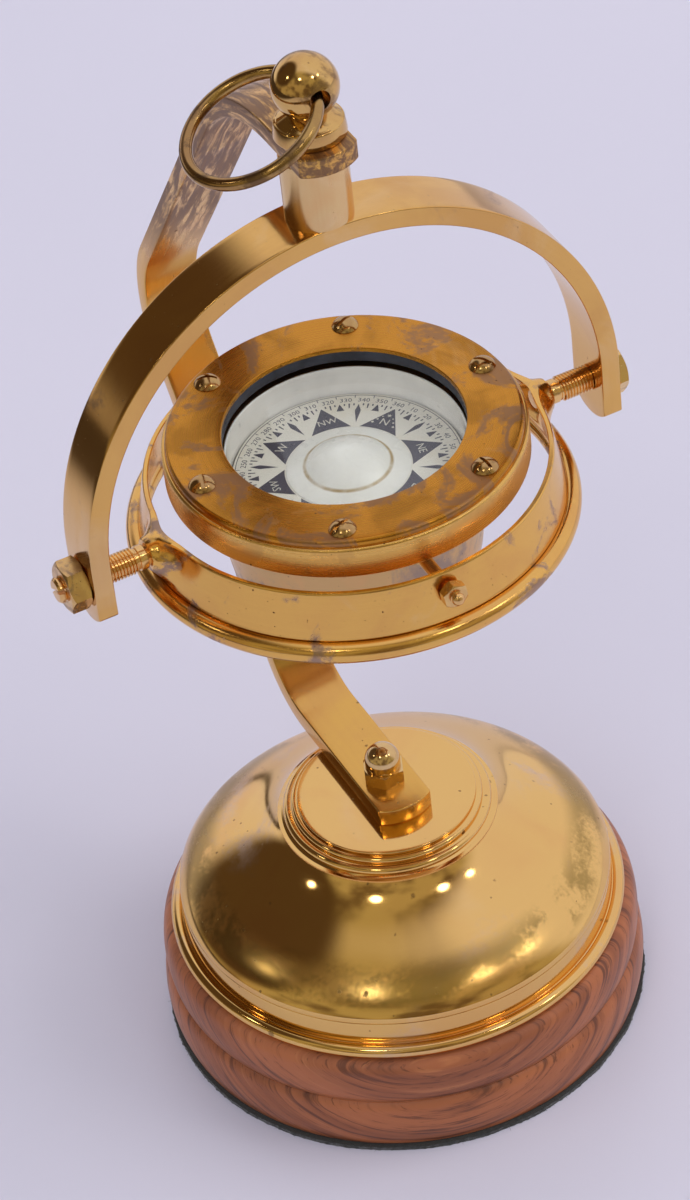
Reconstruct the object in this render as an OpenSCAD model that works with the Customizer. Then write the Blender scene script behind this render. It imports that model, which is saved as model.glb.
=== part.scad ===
// Marine compass hung in a gimbal under a bent brass arm on a turned wooden foot.
// Millimetres, +Z up. The origin is the centre of the felt's underside.
// X runs along the yoke's pins, and the arm lies in the YZ plane and bows towards +Y.

/* [Base] */
// Radius of the wooden foot at its lower bead
wood_r = 76.3; // [74:0.1:84]
// Thickness of the felt disc
felt_t = 1.5; // [1:0.1:3]
// Height of the lower bead of the wooden foot
bead_low_h = 17.7; // [15:0.1:20]
// Height of the upper bead of the wooden foot
bead_high_h = 16.3; // [14:0.1:18]
// Radius over the rolled rim of the brass cover
cover_r = 71.6; // [70:0.2:73]
// Radius of the cover's neck, under its beads
neck_r = 34.2; // [33:0.2:36]
// Radius of the cover's flat top disc
disc_r = 27.8; // [27:0.2:28.4]
// Sheet thickness of the brass cover
cover_t = 1.6; // [1.2:0.1:2]

/* [Arm] */
// Width of the arm's flat bar
arm_w = 18; // [15:0.5:19]
// Thickness of the arm's flat bar
arm_t = 6; // [5:0.25:7]
// Distance from the base axis to the outermost point of the arm's knee
arm_reach = 127.2; // [122:1:135]
// Angle of the arm's two slopes above the horizontal
arm_slope = 54; // [52:1:56]
// Height of the knee above the felt's underside
knee_h = 196.5; // [190:1:200]
// Centreline radius of the bend at the foot
foot_bend_r = 25; // [20:1:28]
// Centreline radius of the bend at the knee
knee_bend_r = 36; // [30:1:40]
// Centreline radius of the bend at the top
top_bend_r = 57; // [50:1:60]

/* [Finial and lifting ring] */
// Radius of the finial's ball
ball_r = 9.5; // [9:0.25:10]
// Mean radius of the lifting ring
lift_r = 19.5; // [18:0.5:22]
// Radius of the lifting ring's wire
lift_wire_r = 1.9; // [1.5:0.1:2.1]
// Dip of the lifting ring below the horizontal, as it lies
lift_dip = 22; // [5:1:30]

/* [Yoke] */
// Height of the yoke's pin axis above the felt's underside
pin_z = 207.8; // [204:0.5:210]
// Height of the arch's centre above the pin axis
arch_rise = 7.85; // [6:0.25:10]
// Width of the yoke's flat bar
yoke_w = 18; // [16:0.5:19]
// Thickness of the yoke's flat bar
yoke_t = 6; // [5:0.25:6.5]
// Outer radius of the round boss on the crown
boss_r = 9.7; // [9:0.1:10.5]
// Length of the round boss on the crown
boss_l = 20.5; // [18:0.5:24]
// Radius of the large screws and pins
screw_r = 4; // [3.6:0.1:4.2]

/* [Gimbal ring] */
// Room between the turning bowl and the gimbal ring
ring_clear = 2.54; // [2:0.02:4]
// Wall thickness of the gimbal ring
ring_t = 1.6; // [1.2:0.1:1.8]
// Radius of the rolled bead's section
bead_r = 3.2; // [2.8:0.1:3.4]
// Radius of the large pins' journals
journal_r = 3; // [2.5:0.1:3.2]
// Radius of the small threaded pins
small_pin_r = 2; // [1.8:0.1:2.2]

/* [Bowl] */
// Outer radius of the bowl's wall
bowl_r = 37.5; // [35:0.1:40]
// Depth of the bowl below the pin axis
bowl_depth = 50; // [46:0.5:51]
// Wall thickness of the bowl
bowl_t = 2.2; // [1.8:0.1:2.6]
// Number of bezel screws
screw_count = 6; // [4:1:8]
// Heading of the card, counterclockwise from +X to its north
card_heading = 34; // [0:1:359]
// Radius of the float in the middle of the card
float_r = 12.5; // [11:0.1:14]

/* [Hidden] */
$fn = 96;

thread_gap = 0.02;
running_gap = 0.05;
bolt_gap = 0.25;
cut = 1;
far = 400;

brass = [0.80, 0.62, 0.30];
dark_brass = [0.62, 0.45, 0.22];
grey_brass = [0.52, 0.46, 0.36];
walnut = [0.36, 0.17, 0.10];
steel = [0.70, 0.71, 0.73];

felt_r = wood_r - 0.3;
wood_z0 = felt_t;
groove_z = wood_z0 + bead_low_h;
cover_z0 = groove_z + bead_high_h;
bead_high_r = wood_r - 1.1;
belly_low_r = 28;
belly_high_r = 22;
shoulder_r = 5;
foot_edge_r = 1;
arc_overlap = 0.01;
low_lap = 1;
high_lap = 1.5;
recess_r = 12.5;
recess_h = 12.5;
washer_t = 1.5;
washer_r = 11.5;
hex_af = 13;
hex_h = 6.5;
hex_face = 0.97;
stud_inset = 3;

cover_h = 45.3;
rim_roll_r = 2.3;
rim_roll_z = 2.1;
crease_in = 3.7;
crease_z = 3.9;
skirt_in = 4;
skirt_z = 14;
shoulder_a = 60;
shoulder_pull = 6.5;
neck_a = 51.7;
neck_pull = 5.3;
neck_z = cover_h - 5.8;
dome_top_z = cover_h - 6.3;
disc_t = 1.3;
disc_step = 0.6;
low_bead_in = 3.3;
low_bead_z = cover_h - 4.3;
low_bead_r = 1.5;
top_bead_out = 0.8;
top_bead_z = cover_h - 2.2;
top_bead_r = 1.1;
hollow_shift = [-0.75 * cover_t, -0.9 * cover_t];
hollow_top_in = 1.4;
hollow_drop = cover_t * 1.3;
disc_z = cover_z0 + cover_h;

window_r = bowl_r - bowl_t;
glass_r = bowl_r + 4.5;
bezel_over = 15.5;
bezel_r = bowl_r + bezel_over;
skirt_top = 16;
ring_r = sqrt(bezel_r * bezel_r + skirt_top * skirt_top) + ring_clear + ring_t;
funnel_out = 6;
funnel_tip_x = ring_r + funnel_out;
yoke_room = 17;
arch_r = funnel_tip_x + yoke_room;
arch_z = pin_z + arch_rise;
arch_out = arch_r + yoke_t / 2;
arch_in = arch_r - yoke_t / 2;
crown_z = arch_z + arch_out;
swivel_gap = 0.25;
boss_top_z = crown_z + boss_l;
arm_top_z = boss_top_z + swivel_gap;

foot_end_r = 16;
tip_end_r = 13.7;
foot_zc = disc_z + arm_t / 2;
top_zc = arm_top_z + arm_t / 2;
knee_turn = 180 - 2 * arm_slope;
knee_y = arm_reach - arm_t / 2 + knee_bend_r * (1 / cos(knee_turn / 2) - 1);
foot_y = knee_y - (knee_h - foot_zc) / tan(arm_slope);
top_y = knee_y - (top_zc - knee_h) / tan(arm_slope);
bar_corners = [[foot_y, foot_zc], [knee_y, knee_h], [top_y, top_zc]];
bar_headings = [0, arm_slope, 180 - arm_slope];
bar_turns = [arm_slope, knee_turn, arm_slope];
bar_radii = [foot_bend_r, knee_bend_r, top_bend_r];
foot_top_z = disc_z + arm_t;

dome_af = 11.8;
dome_hex_h = 4.6;
dome_r = 5.5;
dome_neck_h = 2.4;
dome_turn = 7;
dome_bore_tip = 0.8;
stud_top_z = foot_top_z + dome_hex_h + dome_neck_h + dome_bore_tip / 2;
stud_low_z = wood_z0 + stud_inset;

collar_r = 10.4;
collar_top_r = 9.8;
collar_h = 4.5;
finial_z0 = arm_top_z + arm_t;
dish_r = 9.3;
dish_h = 2.5;
ball_neck_r = 5.1;
ball_z = finial_z0 + collar_h + dish_h + sqrt(ball_r * ball_r - ball_neck_r * ball_neck_r);
lift_sag = (lift_r - sqrt(lift_r * lift_r - ball_r * ball_r)) / 2;
lift_hole_r = lift_wire_r + lift_sag + running_gap;
ball_web = 1.7;
bolt_end_gap = 0.5;
bolt_top_z = ball_z - lift_hole_r - ball_web - bolt_end_gap;

boss_dip = 2;
seat_depth = 3.2;
seat_z = arch_z + arch_in + seat_depth;
bolt_head_r = 6.5;
bolt_head_h = 3.1;
bolt_head_z = seat_z - running_gap - bolt_head_h;
bolt_socket_af = 5;
bolt_socket_d = 2;
seat_r = bolt_head_r + 0.4;
leg_end_r = 12.7;
yoke_hole_r = screw_r + thread_gap;

left_pin_out = 8.5;
right_pin_out = 3.8;
pin_shoulder_x = funnel_tip_x + 0.5;
pin_tip_x = ring_r + 1.3;
pin_collar_r = screw_r - 0.3;
pin_collar_l = 3;
pin_groove_r = screw_r - 0.8;
pin_groove_l = 0.6;
pin_chamfer = 0.8;
pin_slot_w = 1.2;
pin_slot_d = 1.8;
pin_nut_af = 14;
left_nut_h = 6.35;
right_nut_h = 4;

rim_up = 5.8;
band_low = -8.9;
band_flare = 3;
bead_z = -12.4;
bead_centre_r = ring_r + 3.8;
crease_in_r = 0.6;
crease_drop = 0.4;
bead_join = 1;
bead_step = 0.3;
funnel_tip_r = 5;
funnel_base_r = 12.5;
funnel_base_x = ring_r - 0.5;
funnel_slope = (funnel_base_r - funnel_tip_r) / (funnel_tip_x - funnel_base_x);
funnel_wall = ring_t * sqrt(1 + funnel_slope * funnel_slope);
funnel_in_x = ring_r - 3.5;
funnel_end_x = ring_r + 3.1;

small_pin_out = 8;
small_end_y = ring_r + small_pin_out;
small_nut_af = 7;
small_nut_h = 3.2;
bush_y = bowl_r + 5;
bush_root = 2;
bush_web = 0.8;
bush_r = 4;
bush_gap = 0.4;
small_journal_r = small_pin_r - 0.4;
small_journal_tip = 4;
small_nut_y = ring_r + band_flare * (rim_up + small_nut_af / 2) / (rim_up - band_low) + running_gap;

bowl_floor_r = 7.5;
bowl_round = bowl_r - bowl_floor_r;
bowl_inside_r = bowl_round - bowl_t;
flange_r = bezel_r - 2;
flange_low = 7.2;
flange_top = 12.7;
glass_low = 10.7;
glass_t = 2.5;
gasket_t = 3.7;
glass_gap = 0.1;
lip_t = 1.3;
bezel_top = glass_low + glass_t + gasket_t + lip_t;
bezel_low = 6.2;
bezel_skirt_t = 1.8;
bezel_cap_r = bezel_r - 1.2;
bezel_round = 2;
cap_screw_pcr = bezel_r - 6.8;
cap_screw_turn = 2;
cap_screw_end = 0.5;
cap_head_r = 4.1;
cap_head_h = 2.5;
cap_shank_r = 1.5;
cap_slot_w = 1;
cap_slot_d = 1.1;
cap_slot_step = 137.5;

card_top = 1.5;
card_t = 0.6;
card_hole_r = 4;
float_foot_r = float_r + 5.9;
float_rise = 1.7;
float_cap_h = 4;
float_low_r = float_r - 1.4;
float_low_h = 7;
float_bore_r = 3;
jewel_r = 2.2;
jewel_low = 0.6;
jewel_h = 3;
jewel_wall = 0.6;
pivot_tip = 2.4;
pivot_play = 0.05;
pivot_r = 1.2;
pivot_point_r = 0.12;
pivot_cone_h = 3.4;
liner_low = -2.3;
liner_step = 0.5;
liner_thick = 1.1;
liner_r = bowl_r - bowl_t - running_gap;
card_gap = 0.35;
card_r = liner_r - liner_thick - card_gap;
floor_z = bowl_t - bowl_depth;
ballast_gap = 0.3;
ballast_h = 12;
ballast_low_r = bowl_floor_r;
ballast_r = ballast_low_r + sqrt(pow(bowl_inside_r, 2) - pow(bowl_inside_r - ballast_h, 2)) - ballast_gap;
post_sink = 5;
magnet_x = 0.47 * card_r;
magnet_w = 3;
magnet_l = 0.88 * card_r;
magnet_h = 2.4;
plug_z = -14;
plug_turn = 45;
plug_head_r = 4.2;
plug_head_h = 2.2;
plug_shank_r = 2.5;

module tube_x(x0, x1, r) {
  translate([x0, 0, 0])
    rotate([0, 90, 0])
      cylinder(h = x1 - x0, r = r);
}

module tube_y(y0, y1, r) {
  translate([0, y1, 0])
    rotate([90, 0, 0])
      cylinder(h = y1 - y0, r = r);
}

module disc_z(z0, z1, r) {
  translate([0, 0, z0])
    cylinder(h = z1 - z0, r = r);
}

// Hexagonal prism with chamfered corners, a flat towards +Y
module hex_block(af, h) {
  corner_r = af / 2 / cos(30);
  face_r = af / 2 * hex_face;
  bevel = (corner_r - face_r) * tan(30);
  intersection() {
    cylinder(h = h, r = corner_r, $fn = 6);
    rotate_extrude()
      polygon([[0, 0], [face_r, 0], [corner_r + thread_gap, bevel], [corner_r + thread_gap, h - bevel],
        [face_r, h], [0, h]]);
  }
}

module hex_nut(af, h, r) {
  difference() {
    hex_block(af, h);
    translate([0, 0, -cut])
      cylinder(h = h + 2 * cut, r = r);
  }
}

// Section of a turned bead: a flat belly arc, with smaller arcs at its upper and lower edge
module bead_section(r, z0, z1, belly, top_arc, low_arc) {
  zm = (z0 + z1) / 2;
  cx = r - belly;
  top_x = cx + sqrt(pow(belly - top_arc, 2) - pow(z1 - top_arc - zm, 2)) + arc_overlap;
  low_x = cx + sqrt(pow(belly - low_arc, 2) - pow(z0 + low_arc - zm, 2)) + arc_overlap;
  top_cut = zm + (z1 - top_arc - zm) * belly / (belly - top_arc);
  low_cut = zm + (z0 + low_arc - zm) * belly / (belly - low_arc);
  translate([0, z0])
    square([low_x, zm - z0]);
  translate([0, zm])
    square([top_x, z1 - zm]);
  intersection() {
    translate([cx, zm])
      circle(r = belly);
    translate([0, low_cut])
      square([r + cut, top_cut - low_cut]);
  }
  translate([top_x, z1 - top_arc])
    circle(r = top_arc);
  translate([low_x, z0 + low_arc])
    circle(r = low_arc);
}

module base_felt() {
  color([0.10, 0.10, 0.10])
    cylinder(h = felt_t, r = felt_r);
}

module wood_base() {
  color(walnut)
    difference() {
      rotate_extrude() {
        bead_section(wood_r, wood_z0, groove_z + low_lap, belly_low_r, shoulder_r, foot_edge_r);
        bead_section(bead_high_r, groove_z - high_lap, cover_z0, belly_high_r, shoulder_r, shoulder_r);
      }
      disc_z(wood_z0 - cut, cover_z0 + cut, screw_r + bolt_gap);
      disc_z(wood_z0 - cut, wood_z0 + recess_h, recess_r);
    }
}

// Corner points of the cover's dome, measured up from the wood's top
function uphill(a) = [-cos(a), sin(a)];
shoulder = [cover_r - skirt_in, skirt_z];
dome_top = [neck_r, dome_top_z];
low_corner = shoulder + shoulder_pull * uphill(shoulder_a);
high_corner = dome_top - neck_pull * uphill(neck_a);
cone_run = low_corner[0] - high_corner[0];
cone_a = atan2(high_corner[1] - low_corner[1], cone_run);
low_end = low_corner + shoulder_pull * uphill(cone_a);
high_end = high_corner - neck_pull * uphill(cone_a);
soft_r = shoulder_pull / tan((shoulder_a - cone_a) / 2);
cove_r = neck_pull / tan((neck_a - cone_a) / 2);

module cover_section() {
  crease_r = cover_r - crease_in;
  outer_normal = [sin(cone_a), cos(cone_a)];
  difference() {
    polygon([[0, 0], [crease_r, 0], [crease_r, crease_z], shoulder, low_end, high_end, dome_top,
      [0, dome_top_z]]);
    translate(high_end + cove_r * outer_normal)
      circle(r = cove_r);
  }
  intersection() {
    translate(low_end - (soft_r - arc_overlap) * outer_normal)
      circle(r = soft_r);
    polygon([[0, 0], shoulder, low_corner, low_end]);
  }
  intersection() {
    translate([cover_r - rim_roll_r, rim_roll_z])
      circle(r = rim_roll_r);
    square([cover_r + cut, rim_roll_z + rim_roll_r]);
  }
  square([neck_r, neck_z]);
  square([neck_r - low_bead_in, low_bead_z]);
  translate([neck_r - low_bead_in, low_bead_z])
    circle(r = low_bead_r);
  square([disc_r + top_bead_out, top_bead_z]);
  translate([disc_r + top_bead_out, top_bead_z])
    circle(r = top_bead_r);
  square([disc_r - disc_step, cover_h]);
  translate([0, cover_h - disc_t])
    square([disc_r, disc_t]);
}

module cover_hollow_section() {
  low_r = shoulder[0] + hollow_shift[0];
  top_z = cover_h - hollow_drop;
  polygon([[0, -cut], [low_r, -cut], shoulder + hollow_shift, low_end + hollow_shift,
    high_corner + hollow_shift, dome_top + hollow_shift, [disc_r, neck_z], [disc_r - hollow_top_in, top_z], [0, top_z]]);
}

module base_cover() {
  color(brass)
    translate([0, 0, cover_z0])
      difference() {
        rotate_extrude()
          difference() {
            cover_section();
            cover_hollow_section();
          }
        disc_z(0, cover_h + cut, screw_r + bolt_gap);
      }
}

module base_stud() {
  color(dark_brass)
    disc_z(stud_low_z, stud_top_z, screw_r);
}

module base_washer() {
  color(steel)
    translate([0, 0, wood_z0 + recess_h - washer_t])
      difference() {
        cylinder(h = washer_t, r = washer_r);
        disc_z(-cut, washer_t + cut, screw_r + bolt_gap);
      }
}

module base_nut() {
  color(steel)
    translate([0, 0, wood_z0 + recess_h - washer_t - hex_h])
      hex_nut(hex_af, hex_h, screw_r + thread_gap);
}

// Point on the bar's outline where bend i starts or ends, d out from the centreline
function heading(a) = [cos(a), sin(a)];
function outward(a) = [sin(a), -cos(a)];
function bend_tan(i) = bar_radii[i] * tan(bar_turns[i] / 2);
function bend_start(i, d) = bar_corners[i] - bend_tan(i) * heading(bar_headings[i]) + d * outward(bar_headings[i]);
function bend_end(i, d) =
  let(a = bar_headings[i] + bar_turns[i])
  bar_corners[i] + bend_tan(i) * heading(a) + d * outward(a);
function bend_corner(i, d) =
  let(a = bar_headings[i])
  bar_corners[i] + d * (outward(a) + tan(bar_turns[i] / 2) * heading(a));

// Region inside the bar's outline at d out from its centreline, in the YZ plane
module bar_side(d, left_y) {
  bends = [0, 1, 2];
  polygon(concat([[left_y, foot_zc - d]], [for (i = bends) each [bend_start(i, d), bend_end(i, d)]],
    [[left_y, top_zc + d]]));
  for (i = bends) {
    centre = bend_start(i, -bar_radii[i]);
    intersection() {
      translate(centre)
        circle(r = bar_radii[i] + d);
      polygon([centre, bend_start(i, d), bend_corner(i, d), bend_end(i, d)]);
    }
  }
}

module arm() {
  color(brass)
    difference() {
      intersection() {
        rotate([90, 0, 90])
          linear_extrude(height = arm_w, center = true)
            difference() {
              bar_side(arm_t / 2, -foot_end_r);
              bar_side(-arm_t / 2, -foot_end_r - cut);
            }
        union() {
          translate([-far / 2, 0, 0])
            cube([far, far, far]);
          disc_z(disc_z - cut, foot_top_z + cut, foot_end_r);
          disc_z(arm_top_z - cut, finial_z0 + cut, tip_end_r);
        }
      }
      disc_z(disc_z - cut, foot_top_z + cut, screw_r + bolt_gap);
      disc_z(arm_top_z - cut, finial_z0 + cut, screw_r + bolt_gap);
    }
}

module dome_nut() {
  color(brass)
    translate([0, 0, foot_top_z])
      difference() {
        union() {
          rotate([0, 0, dome_turn])
            hex_block(dome_af, dome_hex_h);
          disc_z(0, dome_hex_h + dome_neck_h, dome_r);
          translate([0, 0, dome_hex_h + dome_neck_h])
            sphere(r = dome_r);
        }
        disc_z(-far, 0, far / 2);
        disc_z(-cut, dome_hex_h + dome_neck_h + dome_bore_tip, screw_r + thread_gap);
      }
}

module finial() {
  color(brass)
    difference() {
      union() {
        translate([0, 0, finial_z0])
          cylinder(h = collar_h, r1 = collar_r, r2 = collar_top_r);
        translate([0, 0, finial_z0 + collar_h])
          cylinder(h = dish_h, r1 = dish_r, r2 = ball_neck_r);
        translate([0, 0, ball_z])
          sphere(r = ball_r);
      }
      disc_z(finial_z0 - cut, bolt_top_z + bolt_end_gap, screw_r + thread_gap);
      translate([0, 0, ball_z])
        tube_y(-far / 2, far / 2, lift_hole_r);
    }
}

// Countersunk cap screw from under the yoke's crown up into the finial
module pivot_bolt() {
  color(dark_brass)
    difference() {
      union() {
        disc_z(bolt_head_z, bolt_top_z, screw_r);
        disc_z(bolt_head_z, bolt_head_z + bolt_head_h, bolt_head_r);
      }
      translate([0, 0, bolt_head_z - cut])
        cylinder(h = bolt_socket_d + cut, r = bolt_socket_af / 2 / cos(30), $fn = 6);
    }
}

module lifting_ring() {
  color(brass)
    translate([0, 0, ball_z])
      rotate([0, -lift_dip, 0])
        translate([lift_sag - lift_r, 0, 0])
          rotate_extrude()
            translate([lift_r, 0])
              circle(r = lift_wire_r);
}

module yoke() {
  color(brass)
    difference() {
      union() {
        translate([0, 0, arch_z])
          rotate([90, 0, 0])
            rotate_extrude(angle = 180)
              translate([arch_in, -yoke_w / 2])
                square([yoke_t, yoke_w]);
        for (side = [-1, 1])
          intersection() {
            translate([side * arch_r - yoke_t / 2, -yoke_w / 2, pin_z - leg_end_r])
              cube([yoke_t, yoke_w, arch_rise + leg_end_r]);
            union() {
              translate([-far / 2, -far / 2, pin_z])
                cube([far, far, far]);
              translate([0, 0, pin_z])
                tube_x(-far / 2, far / 2, leg_end_r);
            }
          }
      }
      translate([0, 0, pin_z])
        tube_x(-far / 2, far / 2, yoke_hole_r);
      disc_z(arch_z, crown_z + cut, screw_r + running_gap);
      disc_z(arch_z, seat_z, seat_r);
    }
}

module yoke_boss() {
  color(brass)
    difference() {
      disc_z(crown_z - boss_dip, boss_top_z, boss_r);
      translate([0, 0, arch_z])
        tube_y(-far / 2, far / 2, arch_out);
      disc_z(arch_z, arm_top_z, screw_r + running_gap);
    }
}

// Large pin drawn along +X up to x = end_x, its axis on the X axis
module gimbal_pin(end_x) {
  collar_x = pin_shoulder_x + pin_collar_l;
  difference() {
    union() {
      tube_x(pin_tip_x, pin_shoulder_x + cut, journal_r);
      difference() {
        tube_x(pin_shoulder_x, collar_x, pin_collar_r);
        difference() {
          tube_x(collar_x - pin_groove_l, collar_x, far / 2);
          tube_x(collar_x - pin_groove_l, collar_x, pin_groove_r);
        }
      }
      tube_x(collar_x, end_x - pin_chamfer, screw_r);
      translate([end_x - pin_chamfer, 0, 0])
        rotate([0, 90, 0])
          cylinder(h = pin_chamfer, r1 = screw_r, r2 = screw_r - pin_chamfer);
    }
    translate([end_x - pin_slot_d, -far / 2, -pin_slot_w / 2])
      cube([far, far, pin_slot_w]);
  }
}

module gimbal_pin_left() {
  color(dark_brass)
    translate([0, 0, pin_z])
      rotate([0, 0, 180])
        gimbal_pin(arch_out + left_pin_out);
}

module gimbal_pin_right() {
  color(dark_brass)
    translate([0, 0, pin_z])
      gimbal_pin(arch_out + right_pin_out);
}

module pin_nut(h) {
  translate([arch_out, 0, 0])
    rotate([0, 90, 0])
      hex_nut(pin_nut_af, h, screw_r + thread_gap);
}

module gimbal_nut_left() {
  color(brass)
    translate([0, 0, pin_z])
      rotate([0, 0, 180])
        pin_nut(left_nut_h);
}

module gimbal_nut_right() {
  color(brass)
    translate([0, 0, pin_z])
      pin_nut(right_nut_h);
}

module ring_section() {
  polygon([[ring_r - ring_t, rim_up], [ring_r, rim_up], [ring_r + band_flare, band_low],
    [ring_r + band_flare - crease_in_r, band_low - crease_drop], [ring_r + band_flare, bead_z + bead_join],
    [ring_r + band_flare - ring_t + bead_step, bead_z + bead_join], [ring_r + band_flare - ring_t, band_low]]);
  translate([bead_centre_r, bead_z])
    circle(r = bead_r);
}

// Outer cone of the two bosses, or with an inset its hollow
module funnel(inset, end_x) {
  in_r = funnel_tip_r + (funnel_tip_x - funnel_in_x) * funnel_slope - inset;
  end_r = funnel_tip_r + (funnel_tip_x - end_x) * funnel_slope - inset;
  for (side = [0, 180])
    rotate([0, 0, side])
      translate([funnel_in_x, 0, 0])
        rotate([0, 90, 0])
          cylinder(h = end_x - funnel_in_x, r1 = in_r, r2 = end_r);
}

module gimbal_ring() {
  color(brass)
    translate([0, 0, pin_z])
      difference() {
        union() {
          rotate_extrude()
            ring_section();
          difference() {
            funnel(0, funnel_tip_x);
            translate([0, 0, band_low])
              cylinder(h = rim_up - band_low, r1 = ring_r + band_flare - ring_t, r2 = ring_r - ring_t);
            disc_z(-far / 2, band_low, ring_r + band_flare - ring_t);
            disc_z(rim_up, far / 2, far);
          }
        }
        funnel(funnel_wall, funnel_end_x);
        tube_x(-far / 2, far / 2, journal_r + running_gap);
        tube_y(-far / 2, far / 2, small_pin_r + thread_gap);
      }
}

// Small pin drawn along +Y, its axis on the Y axis
module bowl_pin() {
  tube_y(bush_y - small_journal_tip, bush_y + bush_gap + cut, small_journal_r);
  tube_y(bush_y + bush_gap, small_end_y - small_pin_r, small_pin_r);
  translate([0, small_end_y - small_pin_r, 0])
    sphere(r = small_pin_r);
}

module bowl_pin_front() {
  color(dark_brass)
    translate([0, 0, pin_z])
      rotate([0, 0, 180])
        bowl_pin();
}

module bowl_pin_rear() {
  color(dark_brass)
    translate([0, 0, pin_z])
      bowl_pin();
}

module bowl_pin_nuts() {
  color(brass)
    for (side = [0, 180])
      translate([0, 0, pin_z])
        rotate([0, 0, side])
          translate([0, small_nut_y, 0])
            rotate([-90, 0, 0])
              hex_nut(small_nut_af, small_nut_h, small_pin_r + thread_gap);
}

module bowl_section(inset) {
  r = bowl_r - inset;
  round_r = bowl_round - inset;
  round_z = bowl_round - bowl_depth;
  translate([0, round_z])
    square([r, flange_low - round_z]);
  translate([0, inset - bowl_depth])
    square([bowl_floor_r, round_z + bowl_depth - inset]);
  intersection() {
    translate([bowl_floor_r, round_z])
      circle(r = round_r);
    translate([0, -bowl_depth - cut])
      square([r + cut, bowl_round + cut]);
  }
}

module bowl_shell() {
  color(grey_brass)
    translate([0, 0, pin_z])
      difference() {
        rotate_extrude()
          difference() {
            bowl_section(0);
            bowl_section(bowl_t);
            translate([0, flange_low - cut])
              square([bowl_r - bowl_t, 2 * cut]);
          }
        translate([0, 0, plug_z])
          rotate([0, 0, plug_turn])
            tube_x(bowl_r - bowl_t - cut, bowl_r + cut, plug_shank_r + thread_gap);
      }
}

module bowl_flange() {
  color(grey_brass)
    translate([0, 0, pin_z])
      difference() {
        disc_z(flange_low, flange_top, flange_r);
        disc_z(flange_low - cut, flange_top + cut, window_r);
        disc_z(glass_low, flange_top + cut, glass_r + glass_gap);
        bezel_places()
          disc_z(flange_low - cut, flange_top + cut, cap_shank_r + thread_gap);
      }
}

module trunnion_bushes() {
  color(brass)
    for (side = [0, 180])
      translate([0, 0, pin_z])
        rotate([0, 0, side])
          difference() {
            tube_y(bowl_r - bush_root, bush_y, bush_r);
            disc_z(-far / 2, far / 2, bowl_r);
            tube_y(bowl_r + bush_web, bush_y + cut, small_journal_r + running_gap);
          }
}

module bezel_places() {
  for (i = [0 : screw_count - 1])
    rotate([0, 0, cap_screw_turn + i * 360 / screw_count])
      translate([cap_screw_pcr, 0, 0])
        children();
}

module bezel_ring() {
  skirt_in_r = bezel_r - bezel_skirt_t;
  color(brass)
    translate([0, 0, pin_z])
      difference() {
        rotate_extrude() {
          translate([window_r, bezel_top - lip_t])
            square([bezel_cap_r - bezel_round - window_r, lip_t]);
          translate([glass_r + glass_gap, flange_top])
            square([bezel_cap_r - bezel_round - glass_r - glass_gap, bezel_top - flange_top]);
          translate([bezel_cap_r - bezel_round - cut, flange_top])
            square([bezel_round + cut, bezel_top - bezel_round - flange_top]);
          translate([bezel_cap_r - bezel_round, bezel_top - bezel_round])
            circle(r = bezel_round);
          translate([skirt_in_r, bezel_low])
            square([bezel_skirt_t, skirt_top - bezel_skirt_t / 2 - bezel_low]);
          translate([skirt_in_r + bezel_skirt_t / 2, skirt_top - bezel_skirt_t / 2])
            circle(r = bezel_skirt_t / 2);
        }
        bezel_places()
          disc_z(flange_top - cut, bezel_top + cut, cap_shank_r + thread_gap);
      }
}

module bezel_screws() {
  head_sphere = (cap_head_r * cap_head_r + cap_head_h * cap_head_h) / (2 * cap_head_h);
  color(dark_brass)
    for (i = [0 : screw_count - 1])
      rotate([0, 0, cap_screw_turn + i * 360 / screw_count])
        translate([cap_screw_pcr, 0, pin_z])
          difference() {
            union() {
              disc_z(flange_low + cap_screw_end, bezel_top + cap_head_h / 2, cap_shank_r);
              intersection() {
                translate([0, 0, bezel_top + cap_head_h - head_sphere])
                  sphere(r = head_sphere);
                disc_z(bezel_top, bezel_top + cap_head_h + cut, cap_head_r);
              }
            }
            rotate([0, 0, i * cap_slot_step])
              translate([-far / 2, -cap_slot_w / 2, bezel_top + cap_head_h - cap_slot_d])
                cube([far, cap_slot_w, far]);
          }
}

module cover_glass() {
  color([0.80, 0.90, 0.95, 0.35])
    translate([0, 0, pin_z])
      disc_z(glass_low, glass_low + glass_t, glass_r);
}

module glass_gasket() {
  color([0.22, 0.24, 0.28])
    translate([0, 0, pin_z + glass_low + glass_t])
      difference() {
        cylinder(h = gasket_t, r = glass_r);
        disc_z(-cut, gasket_t + cut, window_r);
      }
}

module bowl_liner() {
  color([0.93, 0.92, 0.88])
    translate([0, 0, pin_z])
      rotate_extrude()
        polygon([[liner_r - liner_thick, liner_low], [liner_r, liner_low], [liner_r, glass_low - running_gap],
          [liner_r - liner_step, glass_low - running_gap]]);
}

module ballast() {
  color([0.40, 0.41, 0.43])
    translate([0, 0, pin_z])
      difference() {
        translate([0, 0, floor_z])
          cylinder(h = ballast_h, r1 = ballast_low_r, r2 = ballast_r);
        disc_z(floor_z + ballast_h - post_sink, floor_z + ballast_h + cut, pivot_r + thread_gap);
      }
}

module filler_plug() {
  color(dark_brass)
    translate([0, 0, pin_z + plug_z])
      rotate([0, 0, plug_turn])
        difference() {
          union() {
            tube_x(bowl_r - bowl_t, bowl_r + cut, plug_shank_r);
            tube_x(bowl_r + running_gap, bowl_r + plug_head_h, plug_head_r);
          }
          translate([bowl_r + plug_head_h - cap_slot_d, -cap_slot_w / 2, -far / 2])
            cube([far, cap_slot_w, far]);
        }
}

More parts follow.
